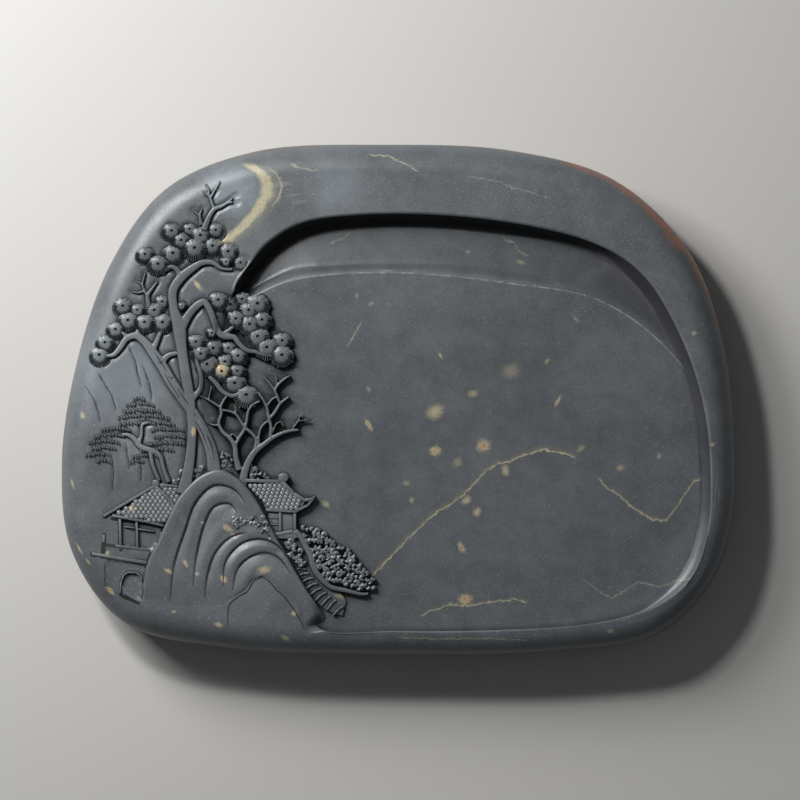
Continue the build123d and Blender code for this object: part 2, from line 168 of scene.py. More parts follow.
# the carving's drawing: (x, y, half width) along each stroke
tallPine = [
    [(-82.5, -36, 2.7), (-81, -30, 2.3), (-79.5, -20, 1.9), (-79, -10, 1.8), (-79.8, 0, 2), (-81.5, 10, 2.1),
     (-83, 20, 2.1), (-84, 28, 2.6), (-86, 35, 1.8), (-86.3, 42, 1.8), (-83, 47, 1.8), (-78, 51, 1.5),
     (-75, 52.6, 1.2), (-71, 52.5, 1), (-68, 50.5, 0.8), (-64, 50, 0.6), (-60, 50.5, 0.5)],
    [(-83.4, 27, 1.9), (-80, 33, 1.6), (-76.8, 36.4, 1.5), (-74.5, 37.6, 1.3), (-72.5, 35, 1.3), (-70.5, 30, 1.3),
     (-69, 26, 1.4), (-67, 24.5, 1.3), (-63, 24, 1.1), (-61, 21.5, 1), (-58, 19, 0.9), (-55, 18.5, 0.8),
     (-52, 17.5, 0.8), (-48, 17, 0.6)],
    [(-67.4, 25, 0.9), (-63.5, 28, 0.7), (-62, 30, 0.5)],
    [(-83.4, 46, 1.2), (-84.5, 49.5, 1), (-87, 51, 0.9), (-90, 49.3, 0.7), (-93, 48.5, 0.4)],
    [(-79.5, 0, 1.4), (-76, 4, 1), (-75.5, 9, 0.9), (-77, 14, 0.8), (-78, 18, 0.6)],
    [(-58, 5, 0.6), (-63, 1.6, 0.9), (-67, 3, 0.9), (-70, 6.5, 1), (-72.5, 9, 0.9)],
]
pineTwigs = [
    [(-74.5, 65, 1.3), (-72.5, 70, 1), (-70.5, 73, 0.85), (-68, 74, 0.7), (-65, 75.5, 0.5), (-62, 75.5, 0.3)],
    [(-66, 75.2, 0.5), (-62.5, 78, 0.3)],
    [(-70.5, 73, 0.7), (-71.5, 75.5, 0.55), (-72, 77, 0.5), (-73.5, 79, 0.4), (-75, 80, 0.28)],
    [(-72, 77.4, 0.5), (-70.5, 80, 0.4), (-68.5, 83.5, 0.28)],
    [(-72.5, 78.4, 0.4), (-73, 81, 0.32), (-74, 82.5, 0.25)],
    [(-75.5, 67, 0.8), (-76, 71, 0.5), (-75.2, 72.9, 0.3)],
    [(-76, 70.3, 0.5), (-78.5, 72.5, 0.28)],
    [(-95.5, 35.5, 1), (-96, 40, 0.8), (-94, 43, 0.55), (-92.4, 45.2, 0.35)],
    [(-96, 39.6, 0.6), (-97.5, 41.5, 0.5), (-99.5, 41, 0.38), (-102, 41.4, 0.25)],
    [(-96.8, 41.2, 0.5), (-98, 44, 0.42), (-97.5, 46.5, 0.36), (-97, 48.5, 0.26)],
    [(-98, 44, 0.4), (-100, 45.5, 0.26)],
]
leftPine = [
    [(-70.5, -27, 2.7), (-71.5, -20, 2.4), (-74.5, -12, 2.2), (-78, -6, 2.1), (-83, 1, 2.1), (-87, 7, 2.2),
     (-90.5, 13, 2.1), (-94, 18, 1.9), (-97, 22, 1.6), (-100.5, 24.6, 1.4), (-104, 23.5, 1.2), (-106.5, 20, 1.1),
     (-109, 17.3, 0.9), (-112, 16.8, 0.6)],
    [(-94.3, 18.6, 1.3), (-92.5, 22.5, 1), (-91, 26, 0.8), (-89, 28, 0.6)],
    [(-91, 13.6, 1.3), (-88.5, 16.8, 1.1), (-85.5, 17.8, 0.9), (-83.5, 18, 0.7)],
    [(-99.5, 24.5, 1), (-100, 27, 0.7)],
    [(-103.5, 24, 0.9), (-106, 26, 0.6)],
]
bareTree = [
    [(-60, -33, 2.1), (-58.6, -26.4, 1.6), (-55.4, -20.2, 1.35), (-51.9, -17.2, 1.1), (-48.3, -14.5, 0.95),
     (-44.7, -12.7, 0.8),
     (-41.1, -11.7, 0.7), (-38.2, -11.5, 0.5)],
    [(-61.1, -26.8, 1.5), (-62.3, -22, 1.2), (-62.7, -17.8, 1.05), (-64.4, -14.8, 0.9), (-67.4, -12.1, 0.8),
     (-68.9, -8.8, 0.72),
     (-67.9, -5.3, 0.68), (-68.1, -2.6, 0.62), (-66.8, 0.1, 0.5), (-65.5, 2, 0.4)],
    [(-68.1, -2.9, 0.5), (-70.4, -1.4, 0.5), (-73.4, 0.4, 0.45), (-76.1, 1.6, 0.35)],
    [(-69.1, -9.7, 0.5), (-71.6, -9.4, 0.4), (-73.4, -8.5, 0.3)],
    [(-62.5, -17.2, 0.8), (-61.1, -14.5, 0.72), (-59.2, -11.5, 0.7), (-58.1, -7.6, 0.62), (-57.7, -4.7, 0.6),
     (-56.1, -2, 0.55),
     (-53.1, -0.4, 0.5)],
    [(-54.9, -18.7, 0.9), (-54.5, -15.4, 0.75), (-56, -13, 0.7), (-58.7, -10.6, 0.66), (-60.5, -8.1, 0.62),
     (-62.3, -5.4, 0.6),
     (-64.4, -4.4, 0.5), (-67.5, -3.8, 0.45)],
    [(-49.2, -14.2, 0.8), (-48.9, -10, 0.72), (-49.8, -6.8, 0.7), (-50.4, -2.9, 0.65), (-51.9, 0.1, 0.55),
     (-53.7, 2.8, 0.5)],
    [(-53.7, -16.9, 0.7), (-53.5, -13.3, 0.55), (-52.5, -10.3, 0.5), (-50.4, -8.2, 0.5)],
    [(-49.5, -7.1, 0.7), (-47.4, -4.7, 0.7), (-45.3, -1.4, 0.66), (-42, 1.3, 0.45)],
    [(-45.4, -1.4, 0.62), (-46.5, 1.6, 0.6), (-47.3, 3.7, 0.6), (-45.9, 6.1, 0.56), (-43.5, 8.2, 0.5),
     (-41.5, 9.4, 0.35)],
    [(-47.4, 3.7, 0.55), (-49.2, 6.1, 0.5), (-51.6, 8.8, 0.35)],
    [(-46.5, 5.5, 0.36), (-46.8, 7.6, 0.3), (-47.4, 9.7, 0.24)],
    [(-50.2, -2, 0.45), (-48.3, 0.4, 0.4), (-46.6, 1.3, 0.4)],
    [(-40.5, -10.6, 0.42), (-38.6, -8.2, 0.36), (-37.2, -4.7, 0.22)],
    [(-38.6, -8.2, 0.3), (-36.3, -7.7, 0.26), (-33.9, -7.4, 0.18)],
    [(-65.3, -14.8, 0.36), (-63.7, -13.1, 0.32), (-61.5, -14.8, 0.36)],
    [(-48.2, -12.4, 0.36), (-46.8, -9.1, 0.32), (-45.2, -8.4, 0.3), (-44, -10.3, 0.3)],
    [(-72.8, 0.4, 0.36), (-72.2, 3.1, 0.3), (-71.7, 5.4, 0.24)],
    [(-62.4, -5, 0.32), (-62.8, -1.6, 0.2)],
]
oldPine = [
    [(-88, -31.5, 0.9), (-90, -26, 0.9), (-91.2, -21.5, 0.9), (-94, -19.4, 1), (-97, -18.6, 1.1), (-99, -17.6, 1.1),
     (-101, -15, 1), (-103.5, -13.4, 0.8), (-106, -13.2, 0.5)],
    [(-91.6, -31, 0.8), (-94, -25, 0.8), (-95, -20, 0.8)],
    [(-99.4, -17, 0.8), (-98.4, -13, 0.7), (-98, -9.4, 0.6), (-95.6, -8.6, 0.5)],
]
pathWalls = [
    [(-39.5, -50.2, 1.1), (-37.4, -52.5, 1.2), (-35.5, -56, 1.2), (-33.6, -60, 1.2), (-32.6, -64, 1.2), (-30, -68, 1.1),
     (-26, -71.6, 1), (-20, -73, 0.9), (-14, -74.4, 0.7), (-11.5, -74.2, 0.5)],
    [(-32.8, -63.2, 0.9), (-29, -63.4, 0.8), (-26.5, -62, 0.7), (-25, -60.6, 0.5)],
    [(-29.8, -67.4, 0.8), (-26, -66.2, 0.6), (-22.5, -66, 0.5)],
    [(-47.5, -51.6, 0.8), (-43.6, -51, 1), (-40.4, -50.4, 1)],
]
# each fan of needles: (x, y, radius)
needleFans = [
    (-86.8, 64, 3.3), (-80, 64.8, 2.9), (-70, 64.3, 3.2), (-75.8, 62.2, 3.6), (-83.2, 60.4, 3.2), (-71.2, 58.2, 3.4),
    (-78, 57.3, 3.9), (-86.3, 55.3, 3.9), (-60.5, 51.8, 3.3), (-65.2, 56, 3.6), (-66, 52.4, 2.2), (-97, 55, 3.2),
    (-92, 51.2, 3.6), (-90.5, 37, 2.9), (-83, 35.5, 1.8), (-105.5, 35.2, 3.4), (-100, 33.8, 2.9), (-93.5, 33.6, 3.4),
    (-103.5, 29.7, 3.5), (-97.2, 29, 3.4), (-90.3, 28.9, 3.5), (-108.3, 26.3, 3.2), (-112.3, 21.3, 3.2),
    (-114.5, 16.5, 3.5), (-69, 37.5, 3.4), (-60, 38, 3), (-54, 36, 4), (-64.4, 35.8, 3.4), (-52.3, 30, 3.4),
    (-57.4, 33.6, 3.5), (-62.3, 30.4, 3.3), (-57, 28.2, 3.7), (-71.5, 25.2, 2.2), (-44.6, 22, 3.3), (-54, 23.5, 3.8),
    (-44.7, 16.3, 3.8), (-50.5, 19.3, 3.9), (-65.2, 19.2, 2.9), (-77.6, 21.5, 3.3), (-71, 19, 3.6),
    (-75.7, 17, 3.2), (-61.5, 16.2, 3.3), (-66.5, 14, 3.1), (-73.3, 12.8, 3.8), (-61.8, 10.5, 2.9),
    (-67.7, 10.2, 3.4), (-62.7, 5.6, 3.9), (-58.3, 1, 4.2),
]
cliffLines = [
    [(-115.2, 11), (-112, 5), (-109.5, 1), (-108, -4.5)],
    [(-103.6, 21), (-101, 15), (-99.5, 9), (-98.4, 4)],
    [(-98.2, 13.5), (-96, 8), (-94.6, 2.5), (-94.4, -1)],
    [(-120.5, 6), (-117, 1), (-115, -4), (-114, -9)],
    [(-110, -20), (-109.2, -27), (-109.4, -35)],
    [(-104.6, -17), (-103.5, -23), (-103, -27)],
    [(-98.6, -24), (-98.5, -32)],
    [(-116, -71), (-106, -74.5), (-98, -79.5)],
    [(-112.4, -62), (-112.2, -72)],
]
rockOutline = [
    (-103, -86), (-99, -78), (-96.4, -63), (-92.4, -54.5), (-88, -44.5), (-84.4, -37.5), (-80, -32.3), (-75, -28.4),
    (-69, -26.4), (-63, -29), (-58, -33.4), (-53.4, -40), (-50, -46.4), (-46, -54), (-42, -61), (-38.6, -67),
    (-35, -73), (-31, -79), (-28.4, -84.6), (-36, -90), (-66, -93), (-92, -91),
]
rockCurve = curveThrough(rockOutline, closed=True, steps=14)


outlineCoarse = np.vstack([outlineLoop[::3], outlineLoop[:1]])
sceneSide = curveThrough([(-63.5, 44), (-66, 36), (-68, 30), (-72, 15), (-74, 0), (-70, -15), (-62, -29), (-54, -40),
                          (-48, -52), (-38, -70), (-33, -90)], steps=6)


def topFromInset(gap):  # the height of the uncarved face, this far in from the outline
    roll = stone["topRoll"]
    near = np.clip(roll - gap, 0, roll)
    crown = stone["crown"] * smooth(roll * 3.2, roll * 0.6, gap)
    return stone["rimTop"] - roll + np.sqrt(np.maximum(roll ** 2 - near ** 2, 0)) - crown


def stoneTop(x, y):
    gap, _ = distanceTo(outlineCoarse, x, y)
    return topFromInset(np.where(inside(outlineCoarse[:-1], x, y), gap, 0))


def sceneDish(x, y):  # 1 in the middle of the scene, 0 on the plain rim and by the rolled edge
    (heartX, heartY), (reachX, reachY) = stone["sceneHeart"], stone["sceneReach"]
    reach = np.hypot((x - heartX) / reachX, (y - heartY) / reachY)
    gap, _ = distanceTo(outlineCoarse, x, y)
    return smooth(1.0, 0.6, reach) * smooth(stone["topRoll"], stone["topRoll"] + 15, gap)


def sceneSlope(x, y):  # how far the ground drops from the scene into the well: 0 to 1
    gap, _ = distanceTo(sceneSide, x, y)
    at = np.interp(y, sceneSide[::-1, 1], sceneSide[::-1, 0])
    return smooth(-3.5, 5.0, np.where(x > at, gap, -gap))


def groundZ(x, y):
    top = stoneTop(x, y) - stone["dish"] * sceneDish(x, y)
    floor = stone["rimTop"] - stone["wellDepth"]
    return mix(top, np.minimum(top, floor), sceneSlope(x, y))


def carvedZ(x, y):  # the level that the middle of the carving keeps: it stays high over the well
    return np.maximum(groundZ(x, y), stone["rimTop"] - stone["overWell"])


def levelAt(x, y, surface=carvedZ):
    return float(surface(np.array([float(x)]), np.array([float(y)]))[0])


# helpers that make meshes
def deselect():
    if bpy.context.object and bpy.context.object.mode != "OBJECT":
        bpy.ops.object.mode_set(mode="OBJECT")
    bpy.ops.object.select_all(action="DESELECT")


def makeActive(piece):
    deselect()
    piece.select_set(True)
    bpy.context.view_layer.objects.active = piece


def finishPiece(piece, name, angle=40, weld=1e-6):
    makeActive(piece)
    bpy.ops.object.mode_set(mode="EDIT")
    bpy.ops.mesh.select_all(action="SELECT")
    bpy.ops.mesh.remove_doubles(threshold=weld)
    bpy.ops.mesh.normals_make_consistent(inside=False)
    bpy.ops.object.mode_set(mode="OBJECT")
    bpy.ops.object.shade_smooth_by_angle(angle=math.radians(angle))
    piece.name = name
    piece.data.name = name
    return piece


def shapedGrid(place):  # place: rows x columns x 3, in mm; the first and last column meet
    rows, columns = place.shape[0] - 1, place.shape[1] - 1
    deselect()
    bpy.ops.mesh.primitive_grid_add(x_subdivisions=columns, y_subdivisions=rows, size=2)
    piece = bpy.context.object
    flat = np.empty(len(piece.data.vertices) * 3)
    piece.data.vertices.foreach_get("co", flat)
    at = flat.reshape(-1, 3)
    u = np.rint((at[:, 0] + 1) / 2 * columns).astype(int)
    v = np.rint((at[:, 1] + 1) / 2 * rows).astype(int)
    piece.data.vertices.foreach_set("co", (place[v, u] * mm).ravel())
    piece.data.update()
    return piece


def closedGrid(rows):
    place = np.stack(rows)
    place[:, -1] = place[:, 0]
    return shapedGrid(place)


def capped(rings):  # a run of rings, closed at both ends
    rings = [np.array(ring) for ring in rings]
    first, last = (np.broadcast_to(ring.mean(axis=0), ring.shape) for ring in (rings[0], rings[-1]))
    return np.stack([first, *rings, last])


def meshCo(piece):
    flat = np.empty(len(piece.data.vertices) * 3)
    piece.data.vertices.foreach_get("co", flat)
    return flat.reshape(-1, 3) / mm


def setCo(piece, points):
    piece.data.vertices.foreach_set("co", (points * mm).ravel())
    piece.data.update()


def joinAll(pieces):
    deselect()
    for piece in pieces:
        piece.select_set(True)
    bpy.context.view_layer.objects.active = pieces[0]
    if len(pieces) > 1:
        bpy.ops.object.join()
    return bpy.context.object


def applyModifier(piece, kind, **values):
    makeActive(piece)
    modifier = piece.modifiers.new(kind.lower(), kind)
    for key, value in values.items():
        setattr(modifier, key, value)
    bpy.ops.object.modifier_apply(modifier=modifier.name)


def polarRadius(loop, angles, heart=stone["heart"]):
    dx, dy = loop[:, 0] - heart[0], loop[:, 1] - heart[1]
    found = np.degrees(np.arctan2(dy, dx)) % 360
    order = np.argsort(found)
    return np.interp(angles % 360, found[order], np.hypot(dx, dy)[order], period=360)


def fromHeart(angles, reach, heart=stone["heart"]):
    a = np.radians(angles)
    return np.stack([heart[0] + reach * np.cos(a), heart[1] + reach * np.sin(a)], axis=-1)


def ripple(x, y, seed, size):  # gentle, smooth unevenness, about -1 to 1
    local = random.Random(seed)
    waves = 5
    total = np.zeros(np.shape(x))
    for _ in range(waves):
        turn = local.uniform(0, math.pi)
        wave = size * local.uniform(0.7, 1.6)
        phase = local.uniform(0, 6.28)
        total = total + np.sin((x * math.cos(turn) + y * math.sin(turn)) * 6.28 / wave + phase)
    return total / waves


# the slab
slabForm = {
    "footTurns": (15, 32, 50, 70, 90),  # rows round the bottom edge, in degrees
    "sideRows": 4,
    "sideInset": 0.2,
    "sideWave": 0.18,  # how uneven the sides are
    "rollRows": 14,
    "rimRows": 78,
    "lip": 0.9,  # the face ends this far from the edge of the well
    "overhang": [(-0.45, 0.04), (0.0, 0.3), (0.06, 0.9), (-0.35, 1.7), (-0.8, 2.6)],  # inset from the edge, drop
    "cove": [(0.55, -1.5), (0.8, -1.4), (0.93, -0.6), (0.985, 0.5), (1.0, 1.8)],  # share of the depth, inset
    "rightWall": (1.4, 2.8),  # inset at the top of the leaning wall, and how much more at its foot
    "narrowPool": 16,  # a pool narrower than this keeps a more level floor
    "poolRows": 7,
    "slopeRows": 14,
    "floorShares": (0.006, 0.016, 0.03, 0.05, 0.075, 0.1, 0.13, 0.16, 0.2, 0.24, 0.28, 0.33, 0.38, 0.44, 0.5, 0.57,
                    0.64, 0.72, 0.8, 0.88, 0.95, 1),
    "floorCrown": 0.12,
}


def columnAngles():  # the columns stand closer by the carving and where the pool's slope begins
    steps = np.linspace(0, 360, 3601)
    turn, dense = steps[:-1], stone["sceneDensity"] - 1
    before = smooth(stone["sceneFrom"] - 6, stone["sceneFrom"] + 4, turn)
    after = smooth(stone["sceneTo"] + 6, stone["sceneTo"] - 4, turn)
    weight = 1 + dense * np.where(turn > 180, after, before) + 2.5 * smooth(43, 47, turn) * smooth(57, 53, turn)
    run = np.concatenate([[0], np.cumsum(weight)])
    return np.interp(np.linspace(0, run[-1], stone["columns"] + 1), run, steps)


def slabBody():
    angles = columnAngles()
    edge = fromHeart(angles, polarRadius(outlineLoop, angles))
    tangent = np.roll(edge[:-1], -1, axis=0) - np.roll(edge[:-1], 1, axis=0)
    tangent = np.vstack([tangent, tangent[:1]])
    tangent /= np.linalg.norm(tangent, axis=1)[:, None]
    inward = np.stack([-tangent[:, 1], tangent[:, 0]], axis=-1)
    well = fromHeart(angles, polarRadius(wellLoop, angles))
    scene = smooth(147.5, 150.5, angles) * smooth(238.5, 235.5, angles)  # 1 where the carving runs into the well
    top, roll, foot = stone["rimTop"], stone["topRoll"], stone["baseRoll"]
    heart = np.broadcast_to(np.array(stone["heart"]), edge.shape)
    rows = []

    def addRow(flat, z):
        rows.append(np.column_stack([flat, np.broadcast_to(z, len(flat))]))

    def addWellRow(flat, z):
        addRow(flat, mix(z, groundZ(*flat.T), scene))

    # base, sides and the rolled edge
    for share in (0, 0.5, 1):
        addRow(mix(heart, edge + inward * foot, share), 0.0)
    for turn in np.radians(slabForm["footTurns"]):
        addRow(edge + inward * foot * (1 - math.sin(turn)), foot * (1 - math.cos(turn)))
    for z in np.linspace(foot + 3, top - roll - 1, slabForm["sideRows"]):
        wave = slabForm["sideWave"] * ripple(edge[:, 0], edge[:, 1] + z, 5, 46)[:, None]
        addRow(edge + inward * (slabForm["sideInset"] + wave), z)
    rollWidth = np.minimum(roll, np.linalg.norm(edge - well, axis=1) * 0.72)
    for turn in np.linspace(0.06, 1, slabForm["rollRows"]):
        inset = (1 - math.cos(turn * math.pi / 2)) * rollWidth
        flat = edge + inward * inset[:, None]
        addRow(flat, topFromInset(inset) + handWork(*flat.T) * turn ** 2)

    # the face, from the roll to the lip
    rolled = edge + inward * rollWidth[:, None]
    towards = well - rolled
    towards /= np.linalg.norm(towards, axis=1)[:, None]
    lipStart = well - towards * slabForm["lip"]
    for step in range(1, slabForm["rimRows"] + 1):
        flat = mix(rolled, lipStart, step / slabForm["rimRows"])
        face = stoneTop(*flat.T) - stone["dish"] * sceneDish(*flat.T)
        addRow(flat, carveDetail(*flat.T, mix(face, groundZ(*flat.T), scene)))

    # the wall: lip, overhang and cove on the open sides, a soft slope on the scene's side
    signed = (angles + 180) % 360 - 180
    leaning = smooth(58, 38, signed) * smooth(-50, -30, signed)  # only the right wall leans back
    deep = poolDepthAt(angles)
    for inset, drop in slabForm["overhang"]:
        addWellRow(well + towards * mix(inset, max(inset, drop * 0.5), leaning)[:, None], top - 0.3 - drop)
    wallTop, wallMore = slabForm["rightWall"]
    for share, inset in slabForm["cove"]:
        flat = well + towards * mix(inset, wallTop + wallMore * share, leaning)[:, None]
        addWellRow(flat, top - (mix(3.2, deep, share) if share < 1 else deep))

    # the pool's floor, and the slope up to the plateau
    wallFoot = well + towards * mix(1.8, wallTop + wallMore, leaning)[:, None]
    wallReach = np.hypot(*(wallFoot - stone["heart"]).T)
    plateauReach = edgeReach(curveThrough(plateauPoints, steps=12), angles, wallReach - 1.6)
    frontReach = edgeReach(curveThrough(poolFrontPoints, steps=12), angles, wallReach - 0.8)
    frontReach = np.minimum(np.maximum(frontReach, plateauReach + 0.5), wallReach - 0.3)
    plateauReach = np.minimum(plateauReach, frontReach - 0.3)
    field = top - stone["wellDepth"]
    wide = np.clip((wallReach - frontReach) / slabForm["narrowPool"], 0, 1)
    rise = (deep - stone["wellDepth"]) * stone["poolFloorRise"] * wide
    for step in range(1, slabForm["poolRows"] + 1):
        crease = top - deep + rise * step / slabForm["poolRows"]
        addWellRow(fromHeart(angles, mix(wallReach, frontReach, step / slabForm["poolRows"])), crease)
    for step in range(1, slabForm["slopeRows"] + 1):
        share = step / slabForm["slopeRows"]
        lift = smooth(0, 1, share) * 0.3 + 0.7 * np.sin(share * math.pi / 2) ** 1.15
        addWellRow(fromHeart(angles, mix(frontReach, plateauReach, share)), mix(crease, field, lift))

    # the plateau; the scene's soft slope reaches a little way onto it
    lastRing = fromHeart(angles, plateauReach)
    for share in slabForm["floorShares"]:
        flat = mix(lastRing, heart, share)
        slope = np.maximum(groundZ(*flat.T) - field, 0) * (flat[:, 0] < -30)
        z = field + slabForm["floorCrown"] * smooth(0, 0.5, share) + slope
        addRow(flat, carveDetail(*flat.T, z) if share < 0.9 else z)
    return finishPiece(closedGrid(rows), "stone_body", angle=89)


def edgeReach(line, angles, otherwise):
    dx, dy = line[:, 0] - stone["heart"][0], line[:, 1] - stone["heart"][1]
    found = np.degrees(np.arctan2(dy, dx))
    order = np.argsort(found)
    found, reach = found[order], np.hypot(dx, dy)[order]
    blend = smooth(found[0] - 3.5, found[0], angles) * smooth(found[-1] + 3.5, found[-1], angles)
    return mix(otherwise, np.interp(angles, found, reach), blend)


def poolDepthAt(angles):
    shallow, deepest = stone["wellDepth"], stone["poolDepth"]
    ramp = smooth(11, 58, angles)
    end = smooth(156, 149, angles)
    return shallow + (deepest - shallow) * ramp ** 1.2 * end


def handWork(x, y):
    uneven = 0.06 * ripple(x, y, 3, 24) + 0.03 * ripple(x, y, 8, 9)  # stronger beside the carving
    return uneven * smooth(-20, -60, x) + 0.05 * ripple(x, y, 21, 60)


def carveDetail(x, y, z):  # trenches beside the carving, cliff lines, and the unevenness of hand work
    near = (x < -6) & (sceneDish(x, y) + sceneSlope(x, y) > 0)
    cut = np.zeros(x.shape)
    if near.any():
        px, py = x[near], y[near]
        gap = np.full(px.shape, 99.0)
        for stroke in allStrokes:
            if px.min() - 6 > max(p[0] for p in stroke) or px.max() + 6 < min(p[0] for p in stroke):
                continue
            g, share = distanceTo(stroke, px, py)
            half = np.interp(share, np.linspace(0, 1, len(stroke)), [p[2] for p in stroke])
            gap = np.minimum(gap, g - half)
        for fx, fy, fr in needleFans:
            gap = np.minimum(gap, np.hypot(px - fx, (py - fy) * 1.1) - fr)
        trench = 0.46 * smooth(1.7, 0.3, gap)
        for line in cliffLines:
            g, share = distanceTo(line, px, py)
            deep = 0.55 * np.sin(np.clip(share, 0.02, 0.98) * math.pi) ** 0.5
            trench = np.maximum(trench, deep * smooth(0.75, 0.1, g))
        cut[near] = trench * smooth(-34, -46, px)
        for loop, deep in recesses:
            hollow = inside(np.array(loop, float), px, py)
            cut[near] = np.where(hollow, np.maximum(cut[near], deep), cut[near])
    return z - cut + handWork(x, y)


recesses = [  # rooms, doors and walls let into the ground around the left house: (outline, depth)
    ([(-106.6, -45.6), (-95, -47.4), (-88, -49), (-94.8, -57.6), (-106.4, -56)], 1.0),
    ([(-105.9, -73.4), (-105.2, -68.4), (-103.6, -66.6), (-100.4, -66.8), (-98.6, -68.4), (-99.6, -76.4)], 0.8),
    ([(-111.4, -61.2), (-97, -63.2), (-99, -78), (-111, -73.2)], 0.35),
]
allStrokes = tallPine + pineTwigs + leftPine + bareTree + oldPine


# trunks and branches
branches = {"rise": 0.9, "voxel": 0.3, "lift": 0.34, "footBelow": 0.9, "thinnest": 0.16, "bareThinner": 0.9}


def strokesPiece(name, strokes, lift=0.0, voxel=branches["voxel"]):
    tubes = []
    for stroke in strokes:
        line = curveThrough(stroke, steps=5)
        data = bpy.data.curves.new(name, "CURVE")
        data.dimensions = "3D"
        spline = data.splines.new("POLY")
        spline.points.add(len(line) - 1)
        for point, (x, y, r) in zip(spline.points, line):
            point.co = (x * mm, y * mm, 0, 1)
            point.radius = max(r, branches["thinnest"])
        data.bevel_depth = mm
        data.bevel_resolution = 3
        data.use_fill_caps = True
        tube = bpy.data.objects.new(name, data)
        bpy.context.collection.objects.link(tube)
        makeActive(tube)
        bpy.ops.object.convert(target="MESH")
        tubes.append(bpy.context.object)
    piece = joinAll(tubes)
    applyModifier(piece, "REMESH", mode="VOXEL", voxel_size=voxel * mm, adaptivity=0)
    applyModifier(piece, "SMOOTH", factor=0.5, iterations=2)
    at = meshCo(piece)
    x, y, z = at.T
    middle = carvedZ(x, y) + branches["lift"] + lift
    foot = groundZ(x, y) - branches["footBelow"]
    under = np.clip(-z / 0.3, 0, 1)
    crown = branches["rise"] * (1 - np.exp(-np.maximum(z, 0) * 1.25 / branches["rise"]))
    at[:, 2] = np.where(z > 0, middle + crown, mix(middle, np.minimum(foot, middle - 0.5), under))
    setCo(piece, at)
    return finishPiece(piece, name, angle=60)


# fans of pine needles
fans = {
    "needles": 30,
    "perNeedle": 2,
    "rings": (0.0, 0.08, 0.15, 0.4, 0.55, 0.7, 0.85, 0.95, 1.0),
    "dome": 0.85,
    "groove": 0.4,
    "cut": 0.08,
    "squash": 0.88,
    "grow": 1.22,
    "dotUp": 0.3,
    "dotDeep": 0.75,
    "foot": -3.0,
    "overlap": 0.2,
}


def fanPoints(radius, seed):  # a dome whose rim is cut into needles, with a drilled dot above its middle
    local = random.Random(seed)
    count = fans["needles"]
    turn = np.linspace(0, 2 * math.pi, count * fans["perNeedle"] + 1)
    between = 0.5 - 0.5 * np.cos(turn * count)  # 1 in the cuts, 0 on the needles
    length = np.array([local.uniform(0.92, 1.1) for _ in range(count)])
    tips = np.interp(turn / (2 * math.pi) * count, np.arange(count + 1), np.append(length, length[0]))
    lower = smooth(0.85, 0.1, np.sin(turn))  # the needles show on the sides and below
    place = []
    for ring, share in enumerate(fans["rings"]):
        reach = radius * fans["grow"] * tips * (1 - fans["cut"] * between * smooth(0.35, 0.95, share) * lower) * share
        x = np.cos(turn) * reach
        y = np.sin(turn) * reach * fans["squash"] + fans["dotUp"] * radius * (1 - share) ** 1.3
        z = fans["dome"] * (1 - share ** 3) - fans["groove"] * between * smooth(0.4, 0.72, share) * lower
        place.append(np.column_stack([x, y, z - fans["dotDeep"] if ring < 2 else z]))
    foot = np.full(turn.shape, fans["foot"])
    return np.stack([*place, np.column_stack([x, y, foot]), np.column_stack([0 * x, 0 * y, foot])])


def needleFan(number, x, y, radius):
    place = fanPoints(radius, number)
    near = [f for f in needleFans if 0 < math.hypot(f[0] - x, f[1] - y) < 8]
    order = sum(1 if f[1] > y else -1 for f in near)  # the lower fans lie over the higher ones
    level = levelAt(x, y) + 0.2 + fans["overlap"] * order + random.Random(100 + number).uniform(-0.05, 0.1)
    z = place[:, :, 2]
    place[:, :, 2] = np.where(z <= fans["foot"] + 0.1, min(levelAt(x, y, groundZ), level) - 1.4, z + level)
    return shapedGrid(place + (x, y, 0))


# the old pine's layered sprays
sprays = {"rise": 0.5, "length": 2.0, "width": 0.7, "spacing": 1.02, "slant": 0.6, "lift": 0.25}
sprayRows = [
    (-102, -97, 1), (-104.5, -94, -1.3), (-106, -91, -3.6), (-107.5, -88, -6), (-107, -86, -8.4), (-114, -103, -10.8),
    (-95, -83, -10.8), (-117, -105, -13.2), (-94, -82, -13.5), (-119, -107, -15.6), (-96, -82, -16),
    (-118, -109, -18), (-99, -86, -18.4), (-120, -111, -20.4), (-102, -92, -20.8), (-116, -111, -22.8),
    (-103, -97, -23),
]


def leafPoints(length, width, rise):  # a short pointed blade, thickest near its root
    rings = []
    for share, wide in ((0.0, 0.35), (0.3, 1.0), (0.7, 0.75), (1.0, 0.12)):
        half, y, low = width * wide / 2, -share * length, rise * 0.35 * wide
        rings.append([(-half, y, -1.2), (-half, y, low), (0, y, rise * (0.4 + 0.6 * wide)), (half, y, low),
                      (half, y, -1.2), (-half, y, -1.2)])
    return capped(rings)


def placeTurned(place, x, y, turn, z):
    out = place.copy()
    c, s = math.cos(turn), math.sin(turn)
    out[..., 0] = x + place[..., 0] * c - place[..., 1] * s
    out[..., 1] = y + place[..., 0] * s + place[..., 1] * c
    out[..., 2] = place[..., 2] + z
    return out


def sprayPiece():
    made = []
    for row, (left, right, y) in enumerate(sprayRows):
        x = left
        sag = 0.9 if row % 2 else 0.6
        while x < right:
            share = (x - left) / max(right - left, 1)
            low = y + sag * math.sin(share * math.pi) - 0.3 + rng.uniform(-0.15, 0.15)
            length = sprays["length"] * rng.uniform(0.8, 1.1)
            blade = leafPoints(length, sprays["width"] * rng.uniform(0.9, 1.2), sprays["rise"])
            slant = sprays["slant"] + rng.uniform(-0.25, 0.25)
            made.append(shapedGrid(placeTurned(blade, x, low, slant, levelAt(x, low) + sprays["lift"])))
            x += sprays["spacing"] * rng.uniform(0.85, 1.15)
    return finishPiece(joinAll(made), "old_pine_needles", angle=35)


